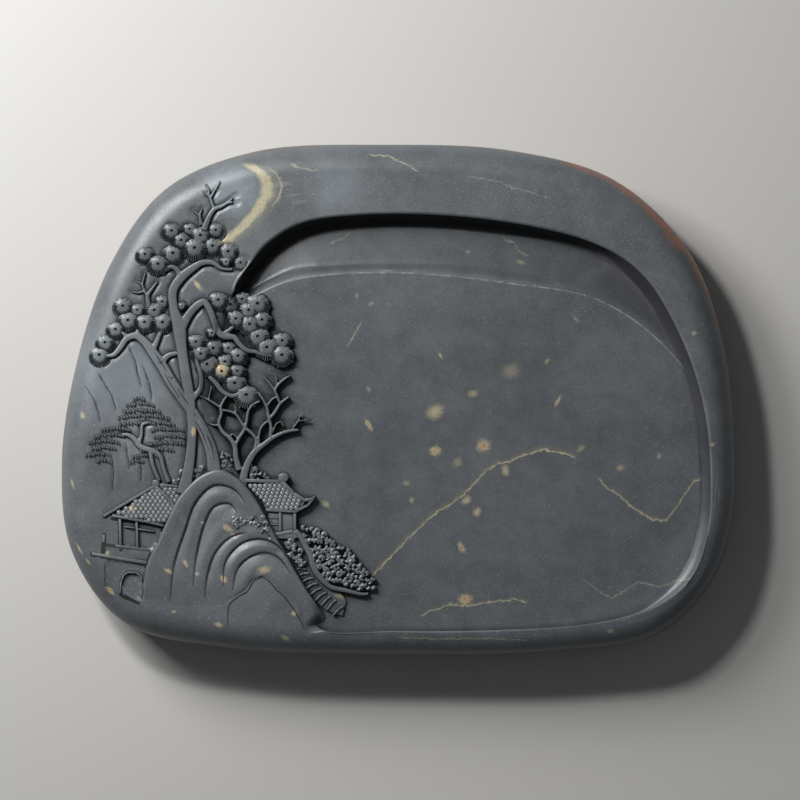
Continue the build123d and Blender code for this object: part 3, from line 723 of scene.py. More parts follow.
# shrubs
shrubs = {"leaf": 1.45, "rise": 0.85, "spacing": 1.9, "jitter": 0.45}
shrubAreas = {
    "thicket": ([(-37.5, -48), (-33, -49), (-26, -52), (-20, -57), (-15, -62), (-12, -67), (-8.5, -68.3), (-11, -73),
                 (-19, -71.6), (-25, -70.4), (-29, -66.6), (-31.6, -62), (-33.6, -57), (-35.5, -53)], 1.0),
    "inner_thicket": ([(-45.8, -54.6), (-40.6, -53), (-37.6, -57), (-36, -62), (-36.2, -64.6), (-40, -64.2)], 0.8),
    "hedge": ([(-64, -46), (-60, -44.4), (-50.6, -45.2), (-48, -49.6), (-52, -50.4), (-58, -48.8), (-63, -48.6)], 1.6),
    "pebbles_left": ([(-79.5, -31), (-76.5, -24), (-74.4, -24), (-74, -29.6)], 0.8),
    "pebbles_middle": ([(-68.8, -26), (-68, -19), (-64.4, -21), (-63, -27.6)], 0.7),
    "pebbles_right": ([(-57, -32), (-58, -23.5), (-53, -25.6), (-50, -29.6), (-50, -31)], 0.6),
    "pebbles_far_left": ([(-86, -33), (-85, -27.4), (-82.6, -27), (-82, -32)], 0.6),
}


def crescentPoints(size, rise, seed):  # one curled leaf: a bent ridge, thick in the middle
    sweep = random.Random(seed).uniform(2.2, 4.2)
    rings = []
    for share in np.arange(7) / 6:
        turn = (share - 0.5) * sweep
        thick = size * 0.4 * (0.35 + math.sin(share * math.pi) ** 0.7)
        c, s = math.cos(turn), math.sin(turn)
        section = [(-thick, -1.6), (-thick * 0.8, rise * 0.6), (0, rise * (0.6 + 0.4 * math.sin(share * math.pi))),
                   (thick * 0.9, rise * 0.35), (thick, -1.6), (-thick, -1.6)]
        rings.append([(c * size * 0.62 + c * wide, s * size * 0.52 + s * wide, high) for wide, high in section])
    return capped(rings)


def shrubPiece(name, area, lift):
    loop = np.array(area, float)
    made = []
    y = loop[:, 1].min()
    row = 0
    while y < loop[:, 1].max():
        x = loop[:, 0].min() + (shrubs["spacing"] / 2 if row % 2 else 0)
        while x < loop[:, 0].max():
            leafX = x + rng.uniform(-1, 1) * shrubs["jitter"]
            leafY = y + rng.uniform(-1, 1) * shrubs["jitter"]
            if inside(loop, np.array([leafX]), np.array([leafY]))[0]:
                size = shrubs["leaf"] * rng.uniform(0.8, 1.2)
                leaf = crescentPoints(size, shrubs["rise"] * rng.uniform(0.6, 1.2), rng.randrange(9999))
                if name == "hedge":  # it grows on the rock
                    level = levelAt(leafX, leafY, rockZ) - 0.2
                else:
                    level = levelAt(leafX, leafY) + lift - 1.0
                made.append(shapedGrid(placeTurned(leaf, leafX, leafY, rng.uniform(0, 6.28), level)))
            x += shrubs["spacing"]
        y += shrubs["spacing"] * 0.8
        row += 1
    return finishPiece(joinAll(made), name, angle=35)


# the rock
rock = {
    "columns": 520,
    "rings": 116,
    "heart": (-66.0, -60.0),
    "rise": 1.15,
    "folds": [  # (line, half width, height)
        ([(-98, -80), (-94.4, -65), (-89, -50.5), (-83, -40.5), (-76, -32.6), (-69, -29.4), (-62, -31.4), (-57, -37),
          (-53, -43.4), (-49.4, -50)], 3.4, 1.0),
        ([(-84, -75), (-81.4, -58), (-77, -45), (-71.6, -37.4), (-65, -36.6), (-60, -41)], 2.4, 0.8),
        ([(-77, -74), (-75, -62), (-71, -53), (-65, -47), (-58, -45.4)], 2.2, 0.7),
        ([(-70.5, -73), (-69, -62), (-63, -53.6), (-54, -50.6), (-47, -52.6)], 1.8, 0.6),
        ([(-65.6, -73), (-63.6, -62.4), (-58, -57.4), (-51.6, -55.8), (-45, -58)], 1.7, 0.7),
        ([(-63, -80), (-60, -70.4), (-53.4, -63.4), (-47, -67), (-41, -76)], 2.2, 0.7),
    ],
    "valleys": [  # (line, half width, depth): sharp outside, soft inside
        ([(-87.8, -77), (-86, -63.3), (-81.6, -49.7), (-77.6, -39.2), (-70.7, -32.8), (-63.2, -34), (-58.7, -39.4)],
         1.5, 1.0),
        ([(-79, -71), (-77.5, -60.3), (-74.5, -48.2), (-70.7, -41), (-64.7, -39.7), (-62, -43)], 1.2, 0.9),
        ([(-74.5, -75.3), (-73, -66.3), (-70.2, -58.6), (-64.7, -52.8), (-58, -50.4)], 1.1, 0.8),
        ([(-67.4, -71), (-66.2, -61.8), (-60.2, -55), (-52.7, -53.2), (-46.7, -55.4), (-43.4, -59.4)], 1.1, 0.9),
        ([(-64, -73), (-61.7, -64.8), (-57.2, -60.3), (-51.2, -58.4), (-45.6, -60.6), (-41.6, -66.3)], 1.0, 0.8),
        ([(-55.6, -44), (-52.4, -46.4), (-50.4, -51), (-48.6, -53)], 0.8, 0.6),
    ],
    "cliff": [(-65.6, -86), (-63.4, -77), (-58.4, -73.4), (-53, -67.6), (-47.2, -73), (-41.4, -79.6), (-37, -87)],
    "cuts": [  # (line, half width, depth)
        ([(-65.6, -86), (-65, -78.4), (-61.4, -75), (-58, -73), (-56, -69.6), (-53, -67.2)], 0.7, 1.0),
        ([(-53, -67.2), (-50, -69), (-47, -72.4), (-44, -75), (-41, -79), (-38.4, -83), (-36.6, -87)], 0.7, 0.9),
    ],
}


def rockZ(x, y):
    z = stoneTop(x, y) - 0.35 + (smooth(-86, -66, y) * 0.55 + 0.05) * rock["rise"]
    fade = smooth(-88, -74, y)
    for line, half, height in rock["folds"]:
        gap, share = distanceTo(curveThrough(line, steps=5), x, y)
        ends = smooth(-0.01, 0.28, share) * smooth(1.02, 0.85, share)
        z = z + 0.5 * height * np.exp(-(gap / half) ** 2) * ends * fade
    for line, half, depth in rock["valleys"]:
        curve = curveThrough(line, steps=5)
        gap, share = distanceTo(curve, x, y)
        ends = smooth(-0.01, 0.3, share) * smooth(1.02, 0.85, share)
        (firstX, firstY), (lastX, lastY) = line[0], line[-1]
        within = inside(np.vstack([curve, [(lastX, lastY - 40), (firstX, firstY - 40)]]), x, y)
        z = z - depth * np.where(within, np.exp(-gap / (1.9 * half)), np.exp(-gap / 0.28)) * ends
    for line, half, depth in rock["cuts"]:
        gap, share = distanceTo(line, x, y)
        z = z - depth * np.exp(-gap / half) * smooth(-0.01, 0.12, share) * smooth(1.01, 0.8, share)
    cliff = np.array(rock["cliff"], float)
    gap, share = distanceTo(cliff, x, y)
    z = z - 0.75 * np.exp(-gap / 4.5) * inside(cliff, x, y) + 0.07 * ripple(x, y, 14, 11)
    return np.minimum(z, cadHigh[2] / mm - 0.1)


def rockPiece():
    turn = np.linspace(0, 360, rock["columns"] + 1)
    reach = polarRadius(rockCurve, turn, rock["heart"])
    rows = []

    def ring(share):
        return fromHeart(turn, reach * share, rock["heart"]).T

    for share in (0.0, 0.5, 1.0):
        x, y = ring(share)
        rows.append(np.column_stack([x, y, groundZ(x, y) - 2.5]))
    wall = np.minimum(groundZ(x, y) + 0.1, rockZ(x, y) - 0.5)
    rows.append(np.column_stack([x, y, mix(wall, groundZ(x, y) - 0.8, smooth(-76, -84, y))]))
    tops = [1 - 0.995 * (k / rock["rings"]) ** 0.92 for k in range(1, rock["rings"])]
    for share in [0.995, *tops, 0.0]:
        x, y = ring(share)
        inset = reach * (1 - share)
        z = rockZ(x, y) - 0.55 * np.clip(1 - inset / 1.1, 0, 1) ** 2  # a rounded edge
        sunk = smooth(-76, -88, y) * smooth(6, 0.3, inset)  # the near edge runs out into the rim
        rows.append(np.column_stack([x, y, mix(z, groundZ(x, y) - 0.5, sunk)]))
    return finishPiece(closedGrid(rows), "rock_mound", angle=60)


# houses
houses = {
    "leftLevel": 30.3,
    "rightLevel": 29.3,
    "tile": 1.9,
    "leftRoof": [(-108.4, -44), (-93, -33.2), (-86, -40.2), (-85.6, -45), (-92, -47.2), (-97, -45.8)],
    "leftRoofBehind": [(-92.2, -32.8), (-84.6, -33.4), (-83.8, -39.6), (-86.6, -40)],
    "rightRoof": [(-58, -32), (-45, -31.6), (-36.6, -39.6), (-38.6, -41.8), (-50, -41.6), (-52.4, -38), (-56, -34.2)],
    "leftArch": [(-106.6, -73.8), (-106.2, -69.4), (-105.2, -67), (-103.6, -65.9), (-100.4, -66), (-98.8, -67.2),
                 (-98.2, -69)],
    "leftPatches": [  # (outline, height over the house's level)
        ([(-112, -59.6), (-96.6, -61.6), (-95, -57.2), (-112.2, -55.4)], -0.25),
        ([(-108.6, -44.4), (-93, -33.4), (-86, -40.4), (-85.6, -45.4), (-92, -47.6), (-97, -46.2)], 0.1),
        ([(-92, -32.8), (-84.6, -33.4), (-83.8, -40), (-86.6, -40.6)], -0.05),
    ],
    "leftKnob": ([(-94.4, -32.6), (-94, -30.6), (-92.4, -30.4), (-91.4, -31.6), (-91.8, -33)], 0.85),
    "leftBars": [  # (start, end, width, height over the house's level, bevel, width at the end)
        ((-113, -44.4), (-92.6, -32.4), 1.1, 0.65), ((-93.6, -32.2), (-85.2, -40.8), 1.0, 0.7),
        ((-92.8, -32.4), (-84.4, -33), 0.9, 0.5), ((-109.6, -44.2), (-97.2, -46.4), 1.0, 0.35),
        ((-97.6, -46.2), (-90, -48), 0.9, 0.3), ((-106.7, -45.4), (-106.5, -56.2), 1.0, -0.1),
        ((-100.3, -46.8), (-100, -57), 0.9, -0.15), ((-112.8, -51.4), (-113.4, -59.4), 1.1, 0.1),
        ((-112.2, -54.4), (-107.6, -53), 0.8, -0.1), ((-117.4, -58.8), (-96.4, -62.2), 1.1, 0.25, 0.14, 1.3),
        ((-112.4, -55.2), (-95.4, -57.4), 0.7, 0.05), ((-105.2, -48.4), (-101, -49), 0.5, -0.4, 0.08),
        ((-99.6, -49.4), (-93.6, -50.2), 0.5, -0.4, 0.08),
    ],
    "rightPatches": [  # (outline, height over the house's level, bevel)
        ([(-58, -32.4), (-45, -32), (-36, -39.2), (-37.4, -42), (-50.6, -42.2), (-52.4, -38.4), (-56, -34.6)], 0),
        ([(-50, -42), (-39, -42.4), (-39, -50.4), (-49.4, -51)], -0.9, 0.1),
        ([(-49.4, -50), (-44, -51.6), (-39, -49.4), (-37, -51.6), (-40, -53.2), (-47, -53)], -0.3),
    ],
    "rightKnob": ([(-46.2, -30.8), (-46, -28.6), (-44.6, -27.9), (-43, -28), (-41.9, -29.3), (-42.4, -30.6),
                   (-43.6, -31.6)], 0.8, 0.3),
    "rightBars": [
        ((-58.6, -30.8), (-43.6, -31.2), 1.2, 0.6), ((-44.6, -31.2), (-40, -35.9), 1.2, 0.65),
        ((-40.3, -35.7), (-36, -38.4), 1.2, 0.6), ((-36.4, -38.3), (-33.4, -38), 1.1, 0.55),
        ((-33.8, -38.2), (-31.9, -36.8), 0.9, 0.5, 0.1, 0.35), ((-50.8, -42), (-39, -42.7), 1.0, 0.3),
        ((-39.4, -42.6), (-34.6, -40.2), 0.9, 0.3), ((-35, -40.4), (-32.4, -37.6), 0.8, 0.3),
        ((-45.4, -42.6), (-45.4, -50.2), 1.0, -0.1), ((-39.8, -42.6), (-39.8, -49.8), 1.0, -0.1),
        ((-49.8, -45), (-45.8, -45.2), 0.5, -0.5, 0.08), ((-49.8, -47.6), (-45.8, -47.8), 0.5, -0.5, 0.08),
    ],
}


def slab(points, low, high, bevel=0.16):  # a flat raised patch with softened edges
    deselect()
    bpy.ops.mesh.primitive_circle_add(vertices=len(points), radius=1, fill_type="NGON")
    piece = bpy.context.object
    area = sum(points[i - 1][0] * points[i][1] - points[i][0] * points[i - 1][1] for i in range(len(points)))
    ordered = points if area > 0 else points[::-1]
    for vertex, point in zip(piece.data.vertices, ordered):
        vertex.co = (point[0] * mm, point[1] * mm, low * mm)
    bpy.ops.object.mode_set(mode="EDIT")
    bpy.ops.mesh.select_all(action="SELECT")
    bpy.ops.mesh.normals_make_consistent(inside=False)
    bpy.ops.mesh.extrude_region_move(TRANSFORM_OT_translate={"value": (0, 0, (high - low) * mm)})
    bpy.ops.mesh.select_all(action="SELECT")
    bpy.ops.mesh.normals_make_consistent(inside=False)
    bpy.ops.object.mode_set(mode="OBJECT")
    applyModifier(piece, "BEVEL", width=bevel * mm, segments=2, limit_method="ANGLE", angle_limit=math.radians(50))
    return piece


def bar(start, end, wide, low, high, bevel=0.14, endWide=None):
    a, b = np.array(start, float), np.array(end, float)
    side = np.array([-(b - a)[1], (b - a)[0]]) / np.linalg.norm(b - a) / 2
    points = [a + side * wide, a - side * wide, b - side * (endWide or wide), b + side * (endWide or wide)]
    return slab(points, low, high, bevel)


def tilePoints(size, rise):  # one scale of a tiled roof: rounded below, tucked under the next above
    turn = np.linspace(0, 2 * math.pi, 11)
    x = np.cos(turn) * size * 0.52
    y = np.sin(turn) * size * np.where(np.sin(turn) < 0.1, 0.5, 0.55)
    tilt = -0.55 * y / size
    rings = [(0, 0, -1.0), (1, 1, -1.0), (1, 1, rise * (0.45 + tilt)), (0.8, 0.85, rise * (0.75 + tilt)),
             (0, 0, rise * 0.85)]
    return np.stack([np.column_stack([x * wide, y * deep, z + 0 * x]) for wide, deep, z in rings])


def tiledRoof(area, level, slant, size, shear=0.0):
    loop = np.array(area, float)
    made = []
    y = loop[:, 1].max()
    row = 0
    while y > loop[:, 1].min() - size:
        x = loop[:, 0].min() - size + (size * 0.5 if row % 2 else 0) + shear * (loop[:, 1].max() - y)
        while x < loop[:, 0].max() + size * 0.5:
            if inside(loop, np.array([x]), np.array([y - size * 0.1]))[0]:
                made.append(shapedGrid(placeTurned(tilePoints(size * 0.98, 0.5), x, y, slant, level)))
            x += size
        y -= size * 0.74
        row += 1
    return made


def timber(patches, bars, ground, level):
    made = [slab(points, ground, level + rise, *bevel) for points, rise, *bevel in patches]
    return made + [bar(start, end, wide, ground, level + rise, *more) for start, end, wide, rise, *more in bars]


def leftHouse():
    level, tile, arch = houses["leftLevel"], houses["tile"], houses["leftArch"]
    ground = level - 2.4
    made = timber(houses["leftPatches"], houses["leftBars"], ground, level)
    made += timber([houses["leftKnob"]], [(a, b, 0.6, 0.4, 0.1) for a, b in zip(arch, arch[1:])], ground, level)
    made += tiledRoof(houses["leftRoof"], level + 0.1, 0.12, tile, 0.05)
    made += tiledRoof(houses["leftRoofBehind"], level - 0.05, -0.5, tile, 0.2)
    return finishPiece(joinAll(made), "left_house", angle=35)


def rightHouse():
    level = houses["rightLevel"]
    ground = stone["rimTop"] - stone["wellDepth"] - 0.8
    made = timber(houses["rightPatches"], houses["rightBars"], ground, level)
    made += timber([houses["rightKnob"]], [], ground, level)
    made += tiledRoof(houses["rightRoof"], level, 0.62, houses["tile"] * 0.98, 0.3)
    return finishPiece(joinAll(made), "right_house", angle=35)


# the path and its steps
path = {
    "ground": [(-47, -53), (-38, -52.5), (-33.6, -62), (-29.6, -69), (-22.6, -73), (-20, -77), (-21.4, -83),
               (-27.4, -81), (-33, -76.6), (-38, -69.4), (-43, -60)],
    "groundRise": 1.0,
    "stepRise": 1.75,
    "stepWide": 0.75,
    "bend": (0.35, 0.75),  # each step bows a little
    "steps": [((-40.2, -65.4), (-36.2, -65)), ((-38.6, -67.6), (-34.8, -66.6)), ((-36.9, -69.9), (-33.2, -68.4)),
              ((-35.2, -72.2), (-31.6, -70.5)), ((-33.4, -74.4), (-30, -72.3)), ((-31.4, -76.4), (-28.2, -74)),
              ((-29.2, -78.2), (-26.4, -75.6)), ((-27, -79.8), (-24.4, -77)), ((-24.6, -82), (-21.6, -79.4))],
}


def pathPiece():
    floor = stone["rimTop"] - stone["wellDepth"]
    low, high = floor - 1.0, floor + path["stepRise"]
    made = [slab(path["ground"], low, floor + path["groundRise"], 0.5)]
    for start, end in np.array(path["steps"]):
        a, b = mix(start, end, -0.22), mix(start, end, 1.18)
        middle = (a + b) / 2 + path["bend"]
        made += [bar(a, middle, path["stepWide"], low, high, 0.2), bar(middle, b, path["stepWide"], low, high, 0.2)]
    return finishPiece(joinAll(made), "path_steps", angle=35)


# ink-filled cuts that outline the carving; they also stand for painted shadow at its foot
cuts = {
    "wide": 0.27,  # how far a cut shows past the foot of what it outlines
    "shadowOffset": (0.16, -0.16),  # the cuts are broader to the right and below, a painted shadow
    "above": 0.1,
    "below": 1.0,
    "trunkLift": 1.12,  # how far the top of a trunk stands over the carving's level
    "hairline": -0.1,  # a fine cut is this much narrower
    "house": [
        [(-110, -45.3, 0.2), (-97, -47.4, 0.2), (-88.6, -49, 0.2)],
        [(-106.7, -46, 0.5), (-106.5, -57, 0.5)],
        [(-100.3, -47, 0.42), (-100, -58, 0.42)],
        [(-112.8, -51.4, 0.5), (-113.4, -59.6, 0.5)],
        [(-117.6, -59, 0.5), (-96.6, -62.3, 0.6)],
        [(-112.4, -55.2, 0.3), (-96, -57.4, 0.3)],
        [(-112.8, -44.6, 0.5), (-92.6, -32.6, 0.5)],
        [(-93.4, -32.2, 0.4), (-85.4, -32.8, 0.4)],
        [(-106.6, -74.6, 0.3), (-106.2, -69.4, 0.3), (-105, -66.8, 0.3), (-103.4, -65.8, 0.3), (-100.4, -66, 0.3),
         (-98.8, -67.2, 0.3), (-98, -69.4, 0.3)],
        [(-105.4, -75, 0.5), (-99.4, -77.6, 0.1)],
        [(-59, -30.8, 0.5), (-44.6, -31.2, 0.5), (-40, -35.9, 0.5), (-36, -38.4, 0.4), (-32, -36.8, 0.1)],
        [(-32.2, -37.4, 0.2), (-34.8, -40.8, 0.3), (-39.2, -43, 0.4)],
        [(-39.6, -42.6, 0.4), (-39.4, -50.4, 0.4)],
    ],
    "rock": [
        [(-98.6, -75.5, -0.1), (-98, -71, 0.25), (-96.6, -63, 0.3), (-92.6, -54.5, 0.3), (-88.2, -44.5, 0.3),
         (-84.6, -37.5, 0.3), (-80.2, -32.3, 0.3), (-75, -28.2, 0.3), (-69, -26.2, 0.3), (-63, -28.8, 0.3),
         (-57.9, -33.3, 0.3), (-53.2, -40, 0.3), (-49.8, -46.4, 0.3), (-45.8, -54, 0.35), (-41.8, -61, 0.35),
         (-38.4, -67, 0.35), (-34.8, -73, 0.3), (-30.8, -79, 0.15)],
    ],
    "bark": [  # short cuts along the trunk of the leaning pine
        [(-72.8, -19), (-75.4, -12.2), (-78.6, -7)], [(-76.6, -7.4), (-81.4, -0.4), (-84.8, 4.4)],
        [(-84, 1), (-88, 7.2), (-89.8, 10.6)], [(-88.8, 11), (-91.6, 15.4), (-93.8, 18.6)],
        [(-88.4, 9.4), (-87.2, 8.4), (-86.4, 9)], [(-92.2, 14.6), (-91, 14.2), (-90.4, 15)],
        [(-70.6, -23), (-71.6, -18), (-73.4, -13.4)],
    ],
}


def cutStrip(stroke):  # height 1 marks the top of the strip, 0 its bottom
    line = curveThrough(stroke, steps=5)
    along = np.gradient(line[:, :2], axis=0)
    along /= np.linalg.norm(along, axis=1)[:, None]
    half = line[:, 2] + cuts["wide"]
    before, after = line[0, :2] - along[0] * half[0] * 0.8, line[-1, :2] + along[-1] * half[-1] * 0.8
    centre = np.vstack([before, line[:, :2], after]) + cuts["shadowOffset"]
    along = np.vstack([along[:1], along, along[-1:]])
    half = np.concatenate([[half[0] * 0.5], half, [half[-1] * 0.5]])[:, None]
    side = np.stack([-along[:, 1], along[:, 0]], axis=-1) * half
    corners = ((1, 0), (1, 1), (-1, 1), (-1, 0), (1, 0))
    ring = [np.hstack([centre + side * sign, np.full((len(centre), 1), float(high))]) for sign, high in corners]
    place = np.stack(ring, axis=1)
    ends = [np.broadcast_to(end[:4].mean(axis=0) * (1, 1, 0), end.shape) for end in (place[0], place[-1])]
    return np.concatenate([ends[0][None], place, ends[1][None]])


def cutDisc(x, y, radius):
    turn = np.linspace(0, 2 * math.pi, 25)
    rim = np.column_stack([np.cos(turn) * radius, np.sin(turn) * radius * fans["squash"], 0 * turn])
    rows = [rim * reach + (x, y, height) for reach, height in ((0, 0), (1, 0), (1, 1), (0, 1))]
    return np.stack(rows) + (*cuts["shadowOffset"], 0)


def hairline(points):  # a fine cut that thins out at both ends
    half = cuts["hairline"]
    return [(x, y, half if 0 < k < len(points) - 1 else half - 0.12) for k, (x, y) in enumerate(points)]


def cutsPiece():
    # the fine cuts along the rock's valleys and steps are painted shade in its creases
    onRock = [line for line, _, _ in rock["valleys"] + rock["cuts"]]
    made = [shapedGrid(cutStrip(hairline(line)) + (0, 0, 10)) for line in onRock]  # tens mark what a cut lies on
    made += [shapedGrid(cutStrip(hairline(line)) + (0, 0, 20)) for line in cuts["bark"]]
    made += [shapedGrid(cutStrip(stroke)) for stroke in allStrokes + pathWalls + cuts["house"] + cuts["rock"]]
    # the dark discs under the fans, shifted right and down, are painted shadow
    made += [shapedGrid(cutDisc(x, y, radius * fans["grow"] + cuts["wide"])) for x, y, radius in needleFans]
    piece = joinAll(made)
    at = meshCo(piece)
    x, y, z = at.T
    kind, high = np.floor(z / 10), z % 10 > 0.5
    ground = carveDetail(x, y, groundZ(x, y))
    level = np.where(kind == 2, carvedZ(x, y) + cuts["trunkLift"], np.where(kind == 1, rockZ(x, y), ground))
    at[:, 2] = level + np.where(high, cuts["above"], -cuts["below"])
    setCo(piece, at)
    return finishPiece(piece, "ink_and_shadow_cuts", angle=35)


# the stone's surface
look = {
    "dark": "#4c5053",
    "light": "#606468",
    "grain": "#33383b",
    "speck": "#a4a9aa",
    "hazeAndHighlight": "#8e989e",
    "skin": "#5c3827",
    "cream": "#b5ad8c",
    "fleck": "#bdb18b",
    "rustAndRedHighlight": "#a5623a",
    "veinHalo": "#8f8358",
    "vein": "#b9b394",
    "edgeWearAndHighlight": "#8b9093",
    "inkAndShadeDark": "#131517",
    "ink": "#0c0d0c",
    "inkDust": "#26241f",
    "paintedPoolShade": "#2b2930",
    "inkAndCornerShade": [(2.2, 0.82, 0.35, 0.42), (0.7, 0.86, 0.66, 0.97), (9, 0.72, 0.45, 0.8)],  # painted shade from ambient occlusion, partly ink in the corners: reach, from, to, strength
    "creamBand": [(59, -67.5), (63, -63.5), (67, -59), (72, -54.4), (78, -50.6), (83, -50.2), (87, -52.6),
                  (91, -58.5)],
    "creamThread": [(74, -48.5), (78, -45.4), (82, -44.6), (86, -46.4), (89, -50)],
    "roughness": (0.34, 0.48),
}


def linear(hexCode):
    values = [int(hexCode[i:i + 2], 16) / 255 for i in (1, 3, 5)]
    return [v / 12.92 if v <= 0.04045 else ((v + 0.055) / 1.055) ** 2.4 for v in values] + [1.0]


def addNode(tree, kind, inputs=None, **values):
    node = tree.nodes.new(kind)
    for key, value in values.items():
        setattr(node, key, value)
    for key, value in (inputs or {}).items():
        socket = node.inputs[key]
        if isinstance(value, bpy.types.NodeSocket):
            tree.links.new(value, socket)
        else:
            socket.default_value = value
    return node


def mathNode(tree, operation, *values):
    return addNode(tree, "ShaderNodeMath", dict(enumerate(values)), operation=operation).outputs[0]


def times(tree, first, *others):
    for other in others:
        first = mathNode(tree, "MULTIPLY", first, other)
    return first


def plus(tree, a, b):
    return mathNode(tree, "ADD", a, b)


def largest(tree, first, *others):
    for other in others:
        first = mathNode(tree, "MAXIMUM", first, other)
    return first


def ranged(tree, value, low, high, toLow=0.0, toHigh=1.0):
    limits = {"From Min": low, "From Max": high, "To Min": toLow, "To Max": toHigh}
    node = addNode(tree, "ShaderNodeMapRange", {"Value": value, **limits}, interpolation_type="SMOOTHSTEP")
    return node.outputs["Result"]


def mixColour(tree, factor, a, b):
    node = addNode(tree, "ShaderNodeMix", data_type="RGBA")
    for key, value in (("Factor_Float", factor), ("A_Color", a), ("B_Color", b)):
        socket = next(s for s in node.inputs if s.identifier == key)
        if isinstance(value, bpy.types.NodeSocket):
            tree.links.new(value, socket)
        else:
            socket.default_value = value
    return next(s for s in node.outputs if s.identifier == "Result_Color")


def paint(tree, under, share, name):  # lays a colour of the look over what is there
    return mixColour(tree, share, under, linear(look[name]))


def noise(tree, at, size, detail, rough):
    inputs = {"Vector": at, "Scale": 1 / (size * mm), "Detail": detail, "Roughness": rough}
    return addNode(tree, "ShaderNodeTexNoise", inputs).outputs["Fac"]


def unevenness(tree, at, size, detail, rough, much):  # noise around 0
    return times(tree, mathNode(tree, "SUBTRACT", noise(tree, at, size, detail, rough), 0.5), much)


def bump(tree, strength, deep, height, **more):
    inputs = {"Strength": strength, "Distance": deep * mm, "Height": height, **more}
    return addNode(tree, "ShaderNodeBump", inputs).outputs[0]


def newMaterial(name):
    material = bpy.data.materials.new(name)
    material.use_nodes = True
    tree = material.node_tree
    at = addNode(tree, "ShaderNodeTexCoord").outputs["Object"]
    return material, tree, tree.nodes["Principled BSDF"], at


# pale hazes; the two on the left are a painted sheen: (x, y, reach, reach of the full haze, strength)
hazesAndSheen = [(-64, 80, 15, 3, 0.48), (-24, 82, 15, 2, 0.22), (-106, 12, 30, 4, 0.34), (-98, -14, 16, 3, 0.2)]
# bigger flecks of the stone: (x, y, half length, half width, turn in degrees, strength)
flecks = [
    (14, -4.5, 3.6, 2.8, 30, 0.75), (14, -19.5, 2.3, 1.9, 0, 0.95), (32.5, -17.5, 2.9, 2.6, 20, 0.85),
    (22.5, -24, 2.2, 1.8, 60, 0.35), (41, -27, 2.4, 1.6, 100, 0.7), (26, -38.5, 2, 1.5, 40, 0.75),
    (30, -43, 1.9, 1.5, 60, 0.75), (24, -56.5, 2.6, 1.2, 120, 0.8), (25.5, -76.5, 2.8, 2.2, 10, 0.95),
    (-11.5, -9.5, 2.6, 1, 120, 0.85), (-28, -40, 1.8, 1.2, 150, 0.6), (61, -0.5, 2.6, 0.8, 60, 0.7),
    (28.5, 2.5, 2.2, 1.5, 10, 0.5), (16, 17, 1.4, 0.6, 120, 0.7), (57, 15, 1.3, 0.8, 60, 0.5),
    (43, 11, 3.8, 3, 30, 0.28), (-16, 40, 1.2, 0.7, 90, 0.4), (-10.5, 37, 1.2, 0.7, 30, 0.4),
    (-11.5, 4, 1.4, 0.8, 110, 0.35), (5, -38.5, 1.3, 0.9, 80, 0.5), (3, -32, 1.4, 1.1, 0, 0.4),
    (85, -26, 1.8, 1.2, 20, 0.5), (100, -21.5, 1.3, 0.9, 70, 0.5), (70, -18.5, 2, 1, 40, 0.45),
    (68, 31, 2, 0.7, 130, 0.35), (47, 53, 2, 0.8, 160, 0.5), (26.5, 57, 1, 0.7, 0, 0.45),
    (81, -88.5, 1.5, 0.9, 10, 0.55), (120, -17, 1, 0.8, 0, 0.6), (113, 25.5, 1.1, 0.9, 0, 0.5),
    (-78.5, -12, 1.9, 1, 85, 0.95), (-68, 12, 3.4, 2.4, 140, 0.85), (-102, -41.5, 1.4, 1.2, 0, 0.8),
    (-65.5, -49, 2, 1.2, 150, 0.85), (-63, -52, 1.6, 0.8, 130, 0.8), (-81.5, -62.5, 1.6, 0.8, 120, 0.85),
    (-88, -65.5, 1.8, 0.8, 150, 0.85), (-77, -66.5, 0.9, 0.7, 0, 0.6), (-67, -68.5, 1.8, 1.1, 130, 0.9),
    (-51.5, -65, 2.8, 1.6, 10, 0.7), (-40, -81.5, 1.4, 1.1, 20, 0.75), (-69, -86, 1.8, 1, 160, 0.75),
    (-86, -81, 0.9, 0.6, 0, 0.6), (-43.5, -91, 2, 0.9, 150, 0.55), (-110.5, -73, 2.2, 0.9, 140, 0.95),
    (-111.5, -58.5, 1.1, 0.8, 20, 0.7), (-121, -6, 1.6, 0.9, 110, 0.6), (-77, 44, 2.6, 0.9, 130, 0.75),
    (-125, -32, 2, 0.5, 110, 0.6), (-122.5, -57, 2.8, 0.5, 120, 0.75), (-119, -62, 1.6, 0.5, 130, 0.6),
    (-75, -47, 1, 0.7, 0, 0.5), (-22.5, -75, 2.2, 1.2, 160, 0.5),
]
